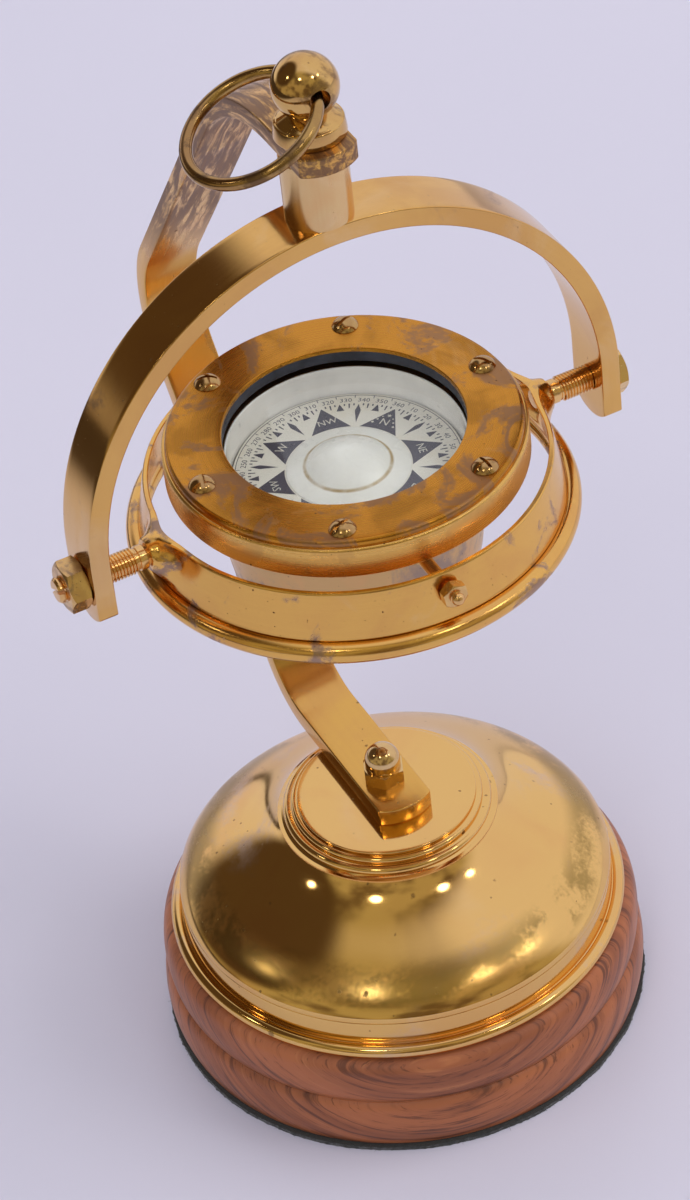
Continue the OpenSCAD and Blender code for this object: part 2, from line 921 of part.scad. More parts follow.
module pivot_post() {
  post_z = floor_z + ballast_h - post_sink;
  color(steel)
    translate([0, 0, pin_z]) {
      disc_z(post_z, pivot_tip - pivot_cone_h, pivot_r);
      translate([0, 0, pivot_tip - pivot_cone_h])
        cylinder(h = pivot_cone_h, r1 = pivot_r, r2 = pivot_point_r);
    }
}

module compass_card() {
  color([0.90, 0.90, 0.86])
    translate([0, 0, pin_z])
      difference() {
        disc_z(card_top - card_t, card_top, card_r);
        disc_z(card_top - card_t - cut, card_top + cut, card_hole_r);
      }
}

// Spherical cap standing on z = 0
module cap(r, h) {
  ball = (r * r + h * h) / (2 * h);
  intersection() {
    translate([0, 0, h - ball])
      sphere(r = ball);
    cylinder(h = h + cut, r = r + cut);
  }
}

module card_float() {
  color([0.90, 0.88, 0.78])
    translate([0, 0, pin_z])
      difference() {
        union() {
          translate([0, 0, card_top])
            cylinder(h = float_rise, r1 = float_foot_r, r2 = float_r);
          translate([0, 0, card_top + float_rise])
            cap(float_r, float_cap_h);
          disc_z(card_top - card_t, card_top, card_hole_r - thread_gap);
          translate([0, 0, card_top - card_t])
            mirror([0, 0, 1])
              cap(float_low_r, float_low_h);
        }
        disc_z(-far / 2, jewel_low, float_bore_r);
        disc_z(jewel_low - cut, jewel_low + jewel_h, jewel_r + thread_gap);
      }
}

module jewel_cup() {
  color([0.70, 0.20, 0.25])
    translate([0, 0, pin_z + jewel_low])
      difference() {
        cylinder(h = jewel_h, r = jewel_r);
        cylinder(h = pivot_tip + pivot_play - jewel_low, r1 = jewel_r - jewel_wall, r2 = 2 * pivot_point_r);
      }
}

module card_magnets() {
  color(steel)
    translate([0, 0, pin_z + card_top - card_t - magnet_h])
      rotate([0, 0, card_heading - 90])
        for (side = [-1, 1])
          translate([side * magnet_x - magnet_w / 2, -magnet_l / 2, 0])
            cube([magnet_w, magnet_l, magnet_h]);
}

base_felt();
wood_base();
base_cover();
base_stud();
base_washer();
base_nut();
arm();
dome_nut();
finial();
pivot_bolt();
lifting_ring();
yoke();
yoke_boss();
gimbal_pin_left();
gimbal_pin_right();
gimbal_nut_left();
gimbal_nut_right();
gimbal_ring();
bowl_pin_front();
bowl_pin_rear();
bowl_pin_nuts();
bowl_shell();
bowl_flange();
trunnion_bushes();
bezel_ring();
bezel_screws();
cover_glass();
glass_gasket();
bowl_liner();
ballast();
filler_plug();
pivot_post();
compass_card();
card_float();
jewel_cup();
card_magnets();
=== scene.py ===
import random
from math import asin, atan2, cos, degrees, hypot, pi, radians, sin, sqrt, tan

import bmesh
import bpy
from mathutils import Matrix, Vector, noise


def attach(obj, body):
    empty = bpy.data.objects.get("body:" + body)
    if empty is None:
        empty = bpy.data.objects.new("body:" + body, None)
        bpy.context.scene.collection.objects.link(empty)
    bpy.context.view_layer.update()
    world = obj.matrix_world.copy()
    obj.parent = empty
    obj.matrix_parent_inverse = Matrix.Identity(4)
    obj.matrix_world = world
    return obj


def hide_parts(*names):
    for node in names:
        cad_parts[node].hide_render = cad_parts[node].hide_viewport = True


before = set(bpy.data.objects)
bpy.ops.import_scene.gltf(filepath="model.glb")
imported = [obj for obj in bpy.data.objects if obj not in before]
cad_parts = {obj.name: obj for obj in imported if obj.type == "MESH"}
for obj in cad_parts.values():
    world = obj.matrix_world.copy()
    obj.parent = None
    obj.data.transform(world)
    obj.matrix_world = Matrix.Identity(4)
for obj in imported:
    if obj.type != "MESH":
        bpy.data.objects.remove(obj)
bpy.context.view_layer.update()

# Lengths are in millimetres, and become metres when a mesh is made
MM = 0.001

# Heights above the table
FELT_TOP = 1.5
COVER_Z = 35.5
DISC_Z = 80.8
PIN_Z = 207.8
CARD_Z = PIN_Z + 1.5
ARM_TOP = 321.9
BALL_Z = 342.922

# The bent arm and the yoke's bar
ARM_T = 6.0
ARM_W = 18.0
ARM_SLOPE = 54.0
FOOT_TOP = DISC_Z + ARM_T
FOOT_END_R = 16.0
TOP_END_R = 13.7
ARCH_Z = PIN_Z + 7.85
ARCH_R = 82.5
BAR_T = 6.0
BAR_W = 18.0
YOKE_OUT = ARCH_R + BAR_T / 2

# Other radii, and the card's heading in degrees
FELT_R = 76.0
STUD_BORE_R = 4.25
BALL_R = 9.5
LIFT_R = 19.5
WIRE_R = 1.9
BOSS_R = 9.7
JOURNAL_R = 3.0
SMALL_JOURNAL_R = 1.6
BEZEL_R = 53.0
WINDOW_R = 42.0
FLOAT_R = 12.5
HEADING = 34.0

# The gimbal ring's slope, its rise over the drawn section, and where the funnels' flare ends
RING_CONE = 3.0 / 14.7
RING_RISE = 1.6
FUNNEL_LOW = -8.9


def arc(cx, cy, r, a0, a1, step=6.0):
    """Points on an arc from angle a0 to a1, in degrees."""
    n = max(2, int(abs(a1 - a0) / step + 0.5))
    angles = [radians(a0 + (a1 - a0) * i / n) for i in range(n + 1)]
    return [(cx + r * cos(a), cy + r * sin(a)) for a in angles]


def rounded(points, closed=True, step=15.0):
    """A polyline whose corners (x, y, radius) are rounded."""
    out = []
    n = len(points)
    for i, p in enumerate(points):
        r = p[2] if len(p) > 2 else 0.0
        if r <= 0 or (not closed and i in (0, n - 1)):
            out.append((p[0], p[1]))
            continue
        a = Vector(points[i - 1][:2])
        b = Vector(p[:2])
        c = Vector(points[(i + 1) % n][:2])
        u = (a - b).normalized()
        v = (c - b).normalized()
        half = u.angle(v) / 2
        t = min(r / tan(half), (a - b).length * 0.49, (c - b).length * 0.49)
        r = t * tan(half)
        centre = b + (u + v).normalized() * (r / sin(half))
        p0 = b + u * t - centre
        p1 = b + v * t - centre
        a0 = atan2(p0.y, p0.x)
        turn = (atan2(p1.y, p1.x) - a0 + pi) % (2 * pi) - pi
        k = max(2, int(abs(turn) / radians(step) + 0.5))
        out += [(centre.x + r * cos(a0 + turn * j / k), centre.y + r * sin(a0 + turn * j / k))
                for j in range(k + 1)]
    return out


def bezier(p0, p1, p2, p3, n):
    """A cubic curve in n steps."""
    out = []
    for i in range(n + 1):
        t = i / n
        k = ((1 - t) ** 3, 3 * t * (1 - t) ** 2, 3 * t * t * (1 - t), t ** 3)
        out.append(tuple(sum(w * p[c] for w, p in zip(k, (p0, p1, p2, p3))) for c in (0, 1)))
    return out


def refine(points, longest, closed=True):
    """The same polyline with no stretch longer than given."""
    out = []
    last = len(points) if closed else len(points) - 1
    for i in range(last):
        a = points[i]
        b = points[(i + 1) % len(points)]
        k = max(1, int(hypot(b[0] - a[0], b[1] - a[1]) / longest + 0.999))
        out += [(a[0] + (b[0] - a[0]) * j / k, a[1] + (b[1] - a[1]) * j / k) for j in range(k)]
    if not closed:
        out.append(points[-1])
    return out


# Meshes
class Part:
    """Vertices in millimetres, faces, and for each vertex the flow of its brushing."""

    def __init__(self, verts=None, faces=None, flow=None):
        self.verts = verts or []
        self.faces = faces or []
        self.flow = flow or [(v[0], v[1], v[2]) for v in self.verts]

    def add(self, vert, flow):
        """Adds a vertex and returns its number."""
        self.verts.append(vert)
        self.flow.append(flow)
        return len(self.verts) - 1

    def moved(self, matrix):
        return Part([tuple(matrix @ Vector(v)) for v in self.verts], self.faces, self.flow)


def lathe(profile, n=160, closed=True):
    """Turns an (r, z) profile about Z. An open profile may end on the axis."""
    part = Part()
    rows = []
    length = 0.0
    for i, (r, z) in enumerate(profile):
        if i:
            length += hypot(r - profile[i - 1][0], z - profile[i - 1][1])
        if r < 1e-5:
            rows.append([part.add((0.0, 0.0, z), (0.0, 0.0, length))] * n)
            continue
        row = []
        for j in range(n):
            c, d = cos(2 * pi * j / n), sin(2 * pi * j / n)
            row.append(part.add((r * c, r * d, z), (20 * c, 20 * d, length)))
        rows.append(row)
    count = len(rows) if closed else len(rows) - 1
    for i in range(count):
        a = rows[i]
        b = rows[(i + 1) % len(rows)]
        for j in range(n):
            k = (j + 1) % n
            face = []
            for v in (a[j], a[k], b[k], b[j]):
                if v not in face:
                    face.append(v)
            if len(face) > 2:
                part.faces.append(tuple(face))
    return part


def lathe_at(z0, profile, n, closed=True):
    return lathe([(r, z + z0) for r, z in profile], n, closed)


def skin(part, rows):
    """Quads between neighbouring rows, each a closed loop of vertex numbers."""
    for a, b in zip(rows, rows[1:]):
        for j in range(len(a)):
            k = (j + 1) % len(a)
            part.faces.append((a[j], a[k], b[k], b[j]))


def closed_grid(n, m):
    """Faces of a ring of n loops of m vertices."""
    faces = []
    for i in range(n):
        k = (i + 1) % n
        for j in range(m):
            q = (j + 1) % m
            faces.append((i * m + j, k * m + j, k * m + q, i * m + q))
    return faces


def bar_outline(width, thick, fillet, inset, cols):
    """Outline of a flat bar with rounded edges: its top, right, bottom and left."""
    hw = width / 2 - inset
    ht = thick / 2 - inset
    r = max(fillet - inset, 0.0)

    def corner(y, angles):
        return [(hw - r + r * cos(radians(a)), y + r * sin(radians(a))) for a in angles]

    half = [(-hw + r + (2 * hw - 2 * r) * i / (cols - 1), ht) for i in range(cols)]
    half += corner(ht - r, (67.5, 45, 22.5))
    half += [(hw, ht - r), (hw, 0.0), (hw, r - ht)]
    half += corner(r - ht, (-22.5, -45, -67.5))
    return half + [(-x, -y) for x, y in half]


def sweep(stations, width, thick, fillet, end_r=(0.0, 0.0), cols=13):
    """A flat bar along stations (origin, tangent, normal, side). Its ends are arcs of end_r."""
    part = Part()
    rows = []
    plan = []
    s = 0.0
    for k, (o, t, nrm, side) in enumerate(stations):
        if k:
            s += (o - stations[k - 1][0]).length
        if k == 0:
            angles, sign, end = (0, 30, 60, 90), 1, 0
        elif k == len(stations) - 1:
            angles, sign, end = (90, 60, 30, 0), -1, 1
        else:
            angles, sign, end = (90,), 0, None
        for a in angles:
            inset = fillet * (1 - sin(radians(a)))
            along = sign * fillet * (1 - cos(radians(a)))
            plan.append((o, t, nrm, side, inset, s, end, along))
    for o, t, nrm, side, inset, s, end, along in plan:
        row = []
        for x, n in bar_outline(width, thick, fillet, inset, cols):
            move = along
            if end is not None and end_r[end] > 0:
                bow = sqrt(end_r[end] ** 2 - x * x) - sqrt(end_r[end] ** 2 - (width / 2) ** 2)
                move += bow if end else -bow
            row.append(part.add(tuple(o + t * move + side * x + nrm * n), (s + move, x, n)))
        rows.append(row)
    skin(part, rows)
    edge = 9  # vertices on each long side's rounded edge
    for row in (rows[0], rows[-1]):
        top = row[:cols]
        bottom = row[cols + edge: 2 * cols + edge][::-1]
        for j in range(cols - 1):
            part.faces.append((top[j], top[j + 1], bottom[j + 1], bottom[j]))
        part.faces.append(tuple(row[cols - 1:cols + edge + 1]))
        part.faces.append(tuple(row[2 * cols + edge - 1:] + [row[0]]))
    return part


def thread(r_root, r_crest, pitch, x0, x1, segs=40):
    """The ridge of a right-hand screw thread along +X, tapered to nothing at both ends."""
    part = Part()
    n = int((x1 - x0) / pitch * segs)
    taper = segs * 0.3
    sunk = 0.1
    rows = []
    for i in range(n + 1):
        a = 2 * pi * i / segs
        x = x0 + (x1 - x0) * i / n
        fade = max(0.0, min(1.0, i / taper, (n - i) / taper))
        foot = r_root - sunk - 0.02
        crest = r_root - sunk + (r_crest - r_root) * fade + sunk * fade
        row = []
        for part_of_pitch, r in ((-0.46, foot), (-0.1, crest), (0.1, crest), (0.46, foot)):
            dx = part_of_pitch * pitch
            place = (x + dx * (0.3 + 0.7 * fade), -r * cos(a), -r * sin(a))
            row.append(part.add(place, (r * a, dx, 0.0)))
        rows.append(row)
    skin(part, rows)
    part.faces += [tuple(rows[0]), tuple(rows[-1])]
    return part


def box_part(lo, hi):
    """A box from its lowest to its highest corner."""
    (x0, y0, z0), (x1, y1, z1) = lo, hi
    v = [(x, y, z) for z in (z0, z1) for x, y in ((x0, y0), (x1, y0), (x1, y1), (x0, y1))]
    f = [(0, 3, 2, 1), (4, 5, 6, 7), (0, 1, 5, 4), (1, 2, 6, 5), (2, 3, 7, 6), (3, 0, 4, 7)]
    return Part(v, f)


def raw_object(part, name="scratch"):
    me = bpy.data.meshes.new(name)
    me.from_pydata([(x * MM, y * MM, z * MM) for x, y, z in part.verts], [], part.faces)
    flow = me.attributes.new("flow", "FLOAT_VECTOR", "POINT")
    flow.data.foreach_set("vector", [c for f in part.flow for c in f])
    bm = bmesh.new()
    bm.from_mesh(me)
    bmesh.ops.remove_doubles(bm, verts=bm.verts, dist=1e-6)
    bmesh.ops.recalc_face_normals(bm, faces=bm.faces)
    bm.to_mesh(me)
    bm.free()
    obj = bpy.data.objects.new(name, me)
    bpy.context.scene.collection.objects.link(obj)
    return obj


def back_to_part(obj):
    me = obj.data
    flow = me.attributes.get("flow")
    f = [tuple(flow.data[i].vector) for i in range(len(me.vertices))] if flow else None
    return Part([tuple(c / MM for c in v.co) for v in me.vertices],
                [tuple(p.vertices) for p in me.polygons], f)


def boolean(part, cutter, operation="DIFFERENCE"):
    """The part with the cutter taken away, or the two intersected."""
    a = raw_object(part, "bool_a")
    b = raw_object(cutter, "bool_b")
    mod = a.modifiers.new("bool", "BOOLEAN")
    mod.operation = operation
    mod.solver = "EXACT"
    mod.object = b
    deps = bpy.context.evaluated_depsgraph_get()
    me = bpy.data.meshes.new_from_object(a.evaluated_get(deps))
    a.modifiers.clear()
    a.data = me
    out = back_to_part(a)
    for o in (a, b):
        bpy.data.objects.remove(o)
    return out


def joined(parts):
    out = Part()
    for p in parts:
        base = len(out.verts)
        out.verts += p.verts
        out.flow += p.flow
        out.faces += [tuple(i + base for i in f) for f in p.faces]
    return out


def build(name, parts, body, nodes, material, sharp=32.0):
    """Makes the object, rides it on its body and hides the CAD nodes it stands for. Edges
    sharper than an angle in degrees are shaded sharp."""
    obj = raw_object(joined(parts) if isinstance(parts, list) else parts, name)
    obj.data.name = name
    bm = bmesh.new()
    bm.from_mesh(obj.data)
    limit = radians(sharp)
    for e in bm.edges:
        e.smooth = not (len(e.link_faces) == 2 and e.calc_face_angle(0.0) > limit)
    for f in bm.faces:
        f.smooth = True
    bm.to_mesh(obj.data)
    bm.free()
    obj.data.materials.append(material)
    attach(obj, body)
    if nodes:
        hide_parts(*nodes)


def turned(axis, angle):
    """A rotation, in degrees."""
    return Matrix.Rotation(radians(angle), 4, axis)


def shift(x, y, z):
    return Matrix.Translation((x, y, z))


TO_X = Matrix.Rotation(radians(90), 4, "Y")


# Materials
class Nodes:
    """Short forms for the nodes of a tree."""

    def __init__(self, tree, output):
        self.t = tree
        self.t.nodes.clear()
        self.out = self.node(output)
        self.coords = self.node("TexCoord").outputs

    def node(self, kind, inputs=None, **settings):
        """A new node with its settings, and its inputs set or linked."""
        n = self.t.nodes.new("ShaderNode" + kind)
        for key, value in settings.items():
            setattr(n, key, value)
        for key, value in (inputs or {}).items():
            self.put(n.inputs[key], value)
        return n

    def put(self, socket, value):
        if isinstance(value, bpy.types.NodeSocket):
            self.t.links.new(value, socket)
        elif socket.type == "RGBA":
            socket.default_value = (*value, 1)
        else:
            socket.default_value = value

    def vec(self, op, a, b):
        return self.node("VectorMath", {0: a, 1: b}, operation=op).outputs[0]

    def dot(self, a, b):
        return self.vec("DOT_PRODUCT", a, b).node.outputs["Value"]

    def math(self, op, a, b=0.0, clamp=False):
        return self.node("Math", {0: a, 1: b}, operation=op, use_clamp=clamp).outputs[0]

    def add(self, a, b, clamp=False):
        return self.math("ADD", a, b, clamp)

    def sub(self, a, b):
        return self.math("SUBTRACT", a, b)

    def mul(self, a, b):
        return self.math("MULTIPLY", a, b)

    def split(self, v):
        return self.node("SeparateXYZ", {0: v}).outputs[:3]

    def join(self, x, y, z):
        return self.node("CombineXYZ", {0: x, 1: y, 2: z}).outputs[0]

    def noise(self, v, scale, detail=3.0, rough=0.5, distort=0.0, seed=0.0):
        """Noise with features of about 1 / scale of the vector's unit."""
        if seed:
            v = self.vec("ADD", v, (seed * 13.7, seed * 7.1, seed * 3.3))
        inputs = {"Vector": v, "Scale": scale, "Detail": detail, "Roughness": rough,
                  "Distortion": distort}
        return self.node("TexNoise", inputs).outputs["Fac"]

    def ramp(self, fac, lo, hi, a=0.0, b=1.0):
        """fac from lo to hi becomes a to b, smoothly."""
        inputs = {"Value": fac, "From Min": lo, "From Max": hi, "To Min": a, "To Max": b}
        return self.node("MapRange", inputs, interpolation_type="SMOOTHSTEP").outputs["Result"]

    def mix(self, fac, a, b):
        return self.node("Mix", {0: fac, 6: a, 7: b}, data_type="RGBA").outputs[2]

    def path(self, kind):
        return self.node("LightPath").outputs[kind]


class Tree(Nodes):
    """A material's nodes, with positions in millimetres and the flow of the brushing."""

    def __init__(self, name):
        self.mat = bpy.data.materials.new(name)
        self.mat.use_nodes = True
        super().__init__(self.mat.node_tree, "OutputMaterial")
        self.pos = self.vec("MULTIPLY", self.coords["Object"], (1000, 1000, 1000))
        self.flow = self.node("Attribute", attribute_name="flow").outputs["Vector"]

    def radius(self):
        """How far a point is from the object's Z axis."""
        x, y, z = self.split(self.pos)
        return self.math("SQRT", self.add(self.mul(x, x), self.mul(y, y)))

    def spots(self, v, scale, size, seed=0.0):
        """Ragged specks, 1 inside. Their cells are 1 / scale across, and some cells are empty."""
        shifted = self.vec("ADD", v, (seed * 5.1, seed * 9.7, seed * 2.3))
        cells = self.node("TexVoronoi", {"Vector": shifted, "Scale": scale, "Randomness": 1.0})
        red, green, blue = self.split(cells.outputs["Color"])
        keep = self.math("GREATER_THAN", red, 0.62)
        ragged = self.mul(self.sub(self.noise(v, scale * 4, 2, 0.6, 0.0, seed), 0.5), size * 1.6)
        far = self.add(cells.outputs["Distance"], self.add(ragged, self.mul(green, size * 0.8)))
        return self.mul(self.ramp(far, size, size * 0.5), keep)

    def bump(self, height, strength, distance, normal=None):
        inputs = {"Strength": strength, "Distance": distance * MM, "Height": height}
        if normal is not None:
            inputs["Normal"] = normal
        return self.node("Bump", inputs).outputs["Normal"]

    def surface(self, shader):
        self.put(self.out.inputs["Surface"], shader.outputs[0])
        return self.mat

    def principled(self, color, rough, normal=None, **extra):
        """The finished material."""
        inputs = {key.replace("_", " "): value for key, value in extra.items()}
        inputs.update({"Base Color": color, "Roughness": rough})
        if normal is not None:
            inputs["Normal"] = normal
        return self.surface(self.node("BsdfPrincipled", inputs))


COPPER = (0.78, 0.40, 0.15)
PALE = (0.86, 0.62, 0.34)
UMBER = (0.15, 0.075, 0.035)
PURPLE = (0.33, 0.23, 0.20)


def brass(name, seed, base, rough, tone, stain, pale, specks, brush, use_flow=True, below=None,
          streaks_and_shade=None, edge=None):
    """Brass with drifting tone, stains, pale clouds, dark specks, and brushing along the flow.

    tone: colour, amount, scale. stain: colour, noise at its edge and at its middle, scale, amount,
    roughness. pale: noise at its edge and at its middle, amount. specks: amount, scale. brush:
    amount, scale, roughness. below: a height, and the colour under it; above it the darker base
    stays, which on the bezel is partly patina and partly a painted reflection on the top face.
    streaks_and_shade: scale, the heights between which they come in, colour; the streaks are wear,
    and between those heights they also darken most of the face as painted shade. edge: the radii
    between which a dull band comes in, the colour of its blotches, roughness.
    """
    tone_color, tone_amount, tone_scale = tone
    stain_color, stain_edge, stain_full, stain_scale, stain_amount, stain_rough = stain
    pale_edge, pale_full, pale_amount = pale
    speck_amount, speck_scale = specks
    brush_amount, brush_scale, brush_rough = brush
    t = Tree(name)
    p = t.pos
    drift = t.noise(p, tone_scale, 4, 0.55, 0.6, seed)
    cloud = t.noise(p, stain_scale, 5, 0.62, 0.9, seed + 3)
    fine = t.noise(p, 0.7, 3, 0.6, 0.0, seed + 5)
    color = t.mix(t.ramp(drift, 0.42, 0.62, 0.0, tone_amount), base, tone_color)
    height = t.split(p)[2]
    # Under the level the colour turns lighter and the stain thinner; above it the darker base
    # stays. On the bezel this paints the top face darker than the side wall: partly patina, partly
    # a painted reflection of the dark room the top faces.
    if below:
        level, low_color = below
        color = t.mix(t.ramp(height, level + 0.4, level - 0.4), color, low_color)
    haze = t.ramp(t.noise(p, stain_scale * 0.8, 4, 0.6, 1.2, seed + 9), pale_edge, pale_full)
    color = t.mix(t.mul(haze, pale_amount), color, PALE)
    ragged = t.add(cloud, t.mul(t.sub(fine, 0.5), 0.14))
    stained = t.mul(t.ramp(ragged, stain_edge, stain_full), stain_amount)
    if below:
        stained = t.mul(stained, t.ramp(height, level - 0.4, level + 0.4, 0.25, 1.0))
    color = t.mix(stained, color, stain_color)
    # Streaks of wear along the brushing, only between two heights. There they darken most of the
    # face, and that darkening is painted shade: on the arm's upper slope the seen face looks down.
    if streaks_and_shade:
        streak_scale, low, high, streak_and_shade_color = streaks_and_shade
        worn = t.noise(t.vec("MULTIPLY", t.flow, streak_scale), 1.0, 5, 0.68, 0.5, seed + 4)
        worn = t.mul(t.ramp(worn, 0.36, 0.54), t.ramp(height, low, high))
        color = t.mix(t.mul(worn, 0.85), color, streak_and_shade_color)
        stained = t.math("MAXIMUM", stained, worn)
    if edge:
        inner, outer, blotch_color, dull_rough = edge
        radius = t.radius()
        dull = t.mul(t.ramp(radius, inner, outer), t.ramp(radius, outer + 7, outer + 4))
        blotch = t.mul(dull, t.ramp(ragged, 0.44, 0.54, 0.0, 0.75))
        color = t.mix(blotch, color, blotch_color)
    small = t.spots(p, speck_scale, 0.15, seed)
    smaller = t.spots(p, speck_scale * 2.3, 0.17, seed + 2)
    dots = t.mul(t.math("MAXIMUM", small, smaller), speck_amount)
    color = t.mix(dots, color, UMBER)
    v = t.vec("MULTIPLY", t.flow if use_flow else p, brush_scale)
    streak = t.noise(v, 1.0, 3, 0.65, 0.0, seed + 7)
    color = t.mix(t.ramp(streak, 0.35, 0.75, 0.0, 0.22 * brush_amount), color, tone_color)
    r = t.add(t.mul(t.sub(streak, 0.5), brush_rough), rough)
    r = t.add(r, t.mul(stained, stain_rough - rough))
    r = t.add(r, t.mul(dots, 0.3))
    r = t.add(r, t.mul(haze, 0.12 * pale_amount), True)
    if edge:
        r = t.add(r, t.mul(dull, dull_rough))
    normal = t.bump(streak, 0.10 * brush_amount, 0.05)
    normal = t.bump(t.sub(fine, dots), 0.06, 0.06, normal)
    return t.principled(color, r, normal, Metallic=1.0)


COVER_MAT = brass(
    "cover_brass", 2.0, (0.86, 0.54, 0.18), 0.085, tone=(COPPER, 0.35, 0.02),
    stain=((0.66, 0.5, 0.42), 0.54, 0.7, 0.016, 0.6, 0.3), pale=(0.55, 0.75, 0.35),
    specks=(0.6, 0.12), brush=(0.18, (0.02, 0.02, 1.6), 0.05),
    edge=(53.0, 60.0, (0.34, 0.22, 0.06), 0.14))
# The arm's upper slope, 205 to 250 mm up, gets dark brown streaks over most of its face. The
# streaks are wear; the darkness over the whole face is painted shade, as that face looks down.
ARM_MAT = brass(
    "arm_brass", 3.0, (0.8, 0.46, 0.11), 0.22, tone=((0.72, 0.38, 0.12), 0.5, 0.035),
    stain=((0.36, 0.24, 0.19), 0.54, 0.68, 0.022, 0.75, 0.42), pale=(0.5, 0.7, 0.3),
    specks=(0.7, 0.16), brush=(0.8, (0.03, 0.9, 0.9), 0.14),
    streaks_and_shade=((0.05, 0.35, 0.35), 205.0, 250.0, (0.17, 0.1, 0.075)))
YOKE_MAT = brass(
    "yoke_brass", 4.0, (0.8, 0.47, 0.14), 0.13, tone=((0.68, 0.37, 0.12), 0.6, 0.03),
    stain=((0.36, 0.25, 0.17), 0.58, 0.72, 0.03, 0.6, 0.36), pale=(0.5, 0.72, 0.35),
    specks=(0.6, 0.22), brush=(0.6, (0.03, 0.9, 0.9), 0.1))
BOSS_MAT = brass(
    "boss_brass", 5.0, (0.8, 0.56, 0.26), 0.22, tone=(COPPER, 0.3, 0.05),
    stain=(PURPLE, 0.64, 0.78, 0.08, 0.5, 0.4), pale=(0.5, 0.7, 0.4), specks=(0.4, 0.3),
    brush=(0.9, (0.6, 0.6, 0.03), 0.14))
RING_MAT = brass(
    "ring_brass", 6.0, (0.86, 0.5, 0.13), 0.18, tone=((0.76, 0.4, 0.12), 0.6, 0.04),
    stain=(PURPLE, 0.56, 0.66, 0.055, 0.85, 0.42), pale=(0.6, 0.76, 0.3), specks=(0.95, 0.35),
    brush=(0.5, (0.04, 0.04, 1.5), 0.12))
# The bezel's top face keeps a dark brown, and its side wall below PIN_Z + 16.2 gets brighter brass.
# The top's darkness is partly patina and partly a painted reflection of the dark room overhead.
BEZEL_MAT = brass(
    "bezel_brass", 7.0, (0.66, 0.29, 0.035), 0.27, tone=((0.44, 0.19, 0.022), 0.9, 0.05),
    stain=((0.34, 0.19, 0.1), 0.5, 0.6, 0.05, 0.8, 0.42), pale=(0.6, 0.78, 0.22),
    specks=(0.8, 0.35), brush=(0.8, (0.02, 0.02, 2.6), 0.12),
    below=(PIN_Z + 16.2, (0.86, 0.52, 0.14)))
BOWL_MAT = brass(
    "bowl_brass", 8.0, (0.66, 0.42, 0.18), 0.3, tone=((0.74, 0.42, 0.18), 0.6, 0.05),
    stain=((0.34, 0.27, 0.24), 0.48, 0.64, 0.04, 0.8, 0.5), pale=(0.6, 0.8, 0.3),
    specks=(0.6, 0.3), brush=(0.4, (0.03, 0.03, 1.2), 0.1), use_flow=False)
WIRE_MAT = brass(
    "wire_bronze", 9.0, (0.4, 0.23, 0.09), 0.2, tone=((0.56, 0.36, 0.11), 0.6, 0.06),
    stain=((0.13, 0.075, 0.045), 0.5, 0.62, 0.06, 0.8, 0.34), pale=(0.7, 0.85, 0.3),
    specks=(0.5, 0.4), brush=(0.5, (0.4, 0.4, 0.4), 0.1))
SCREW_MAT = brass(
    "screw_brass", 10.0, (0.58, 0.37, 0.14), 0.17, tone=((0.44, 0.25, 0.1), 0.6, 0.15),
    stain=(UMBER, 0.58, 0.72, 0.2, 0.7, 0.4), pale=(0.6, 0.8, 0.3), specks=(0.7, 0.7),
    brush=(0.4, (1.0, 1.0, 1.0), 0.1))
PIN_MAT = brass(
    "pin_brass", 11.0, (0.92, 0.58, 0.22), 0.22, tone=((0.74, 0.44, 0.18), 0.6, 0.12),
    stain=(UMBER, 0.62, 0.76, 0.15, 0.6, 0.4), pale=(0.6, 0.8, 0.4), specks=(0.6, 0.6),
    brush=(0.4, (1.0, 1.0, 1.0), 0.1))
NUT_MAT = brass(
    "nut_brass", 12.0, (0.86, 0.57, 0.22), 0.24, tone=((0.64, 0.38, 0.15), 0.6, 0.09),
    stain=((0.3, 0.21, 0.15), 0.52, 0.66, 0.1, 0.7, 0.42), pale=(0.55, 0.75, 0.4),
    specks=(0.8, 0.4), brush=(0.4, (0.6, 0.6, 0.6), 0.1))
BALL_MAT = brass(
    "ball_brass", 13.0, (0.74, 0.47, 0.16), 0.09, tone=((0.6, 0.33, 0.12), 0.5, 0.08),
    stain=((0.24, 0.14, 0.07), 0.52, 0.66, 0.08, 0.75, 0.32), pale=(0.6, 0.8, 0.3),
    specks=(0.6, 0.4), brush=(0.3, (0.05, 0.05, 1.2), 0.06))
DOME_MAT = brass(
    "dome_nut_brass", 14.0, (0.78, 0.53, 0.22), 0.12, tone=((0.64, 0.4, 0.18), 0.5, 0.1),
    stain=((0.42, 0.32, 0.24), 0.56, 0.7, 0.1, 0.5, 0.3), pale=(0.5, 0.7, 0.4), specks=(0.5, 0.5),
    brush=(0.3, (0.1, 0.1, 0.5), 0.06))


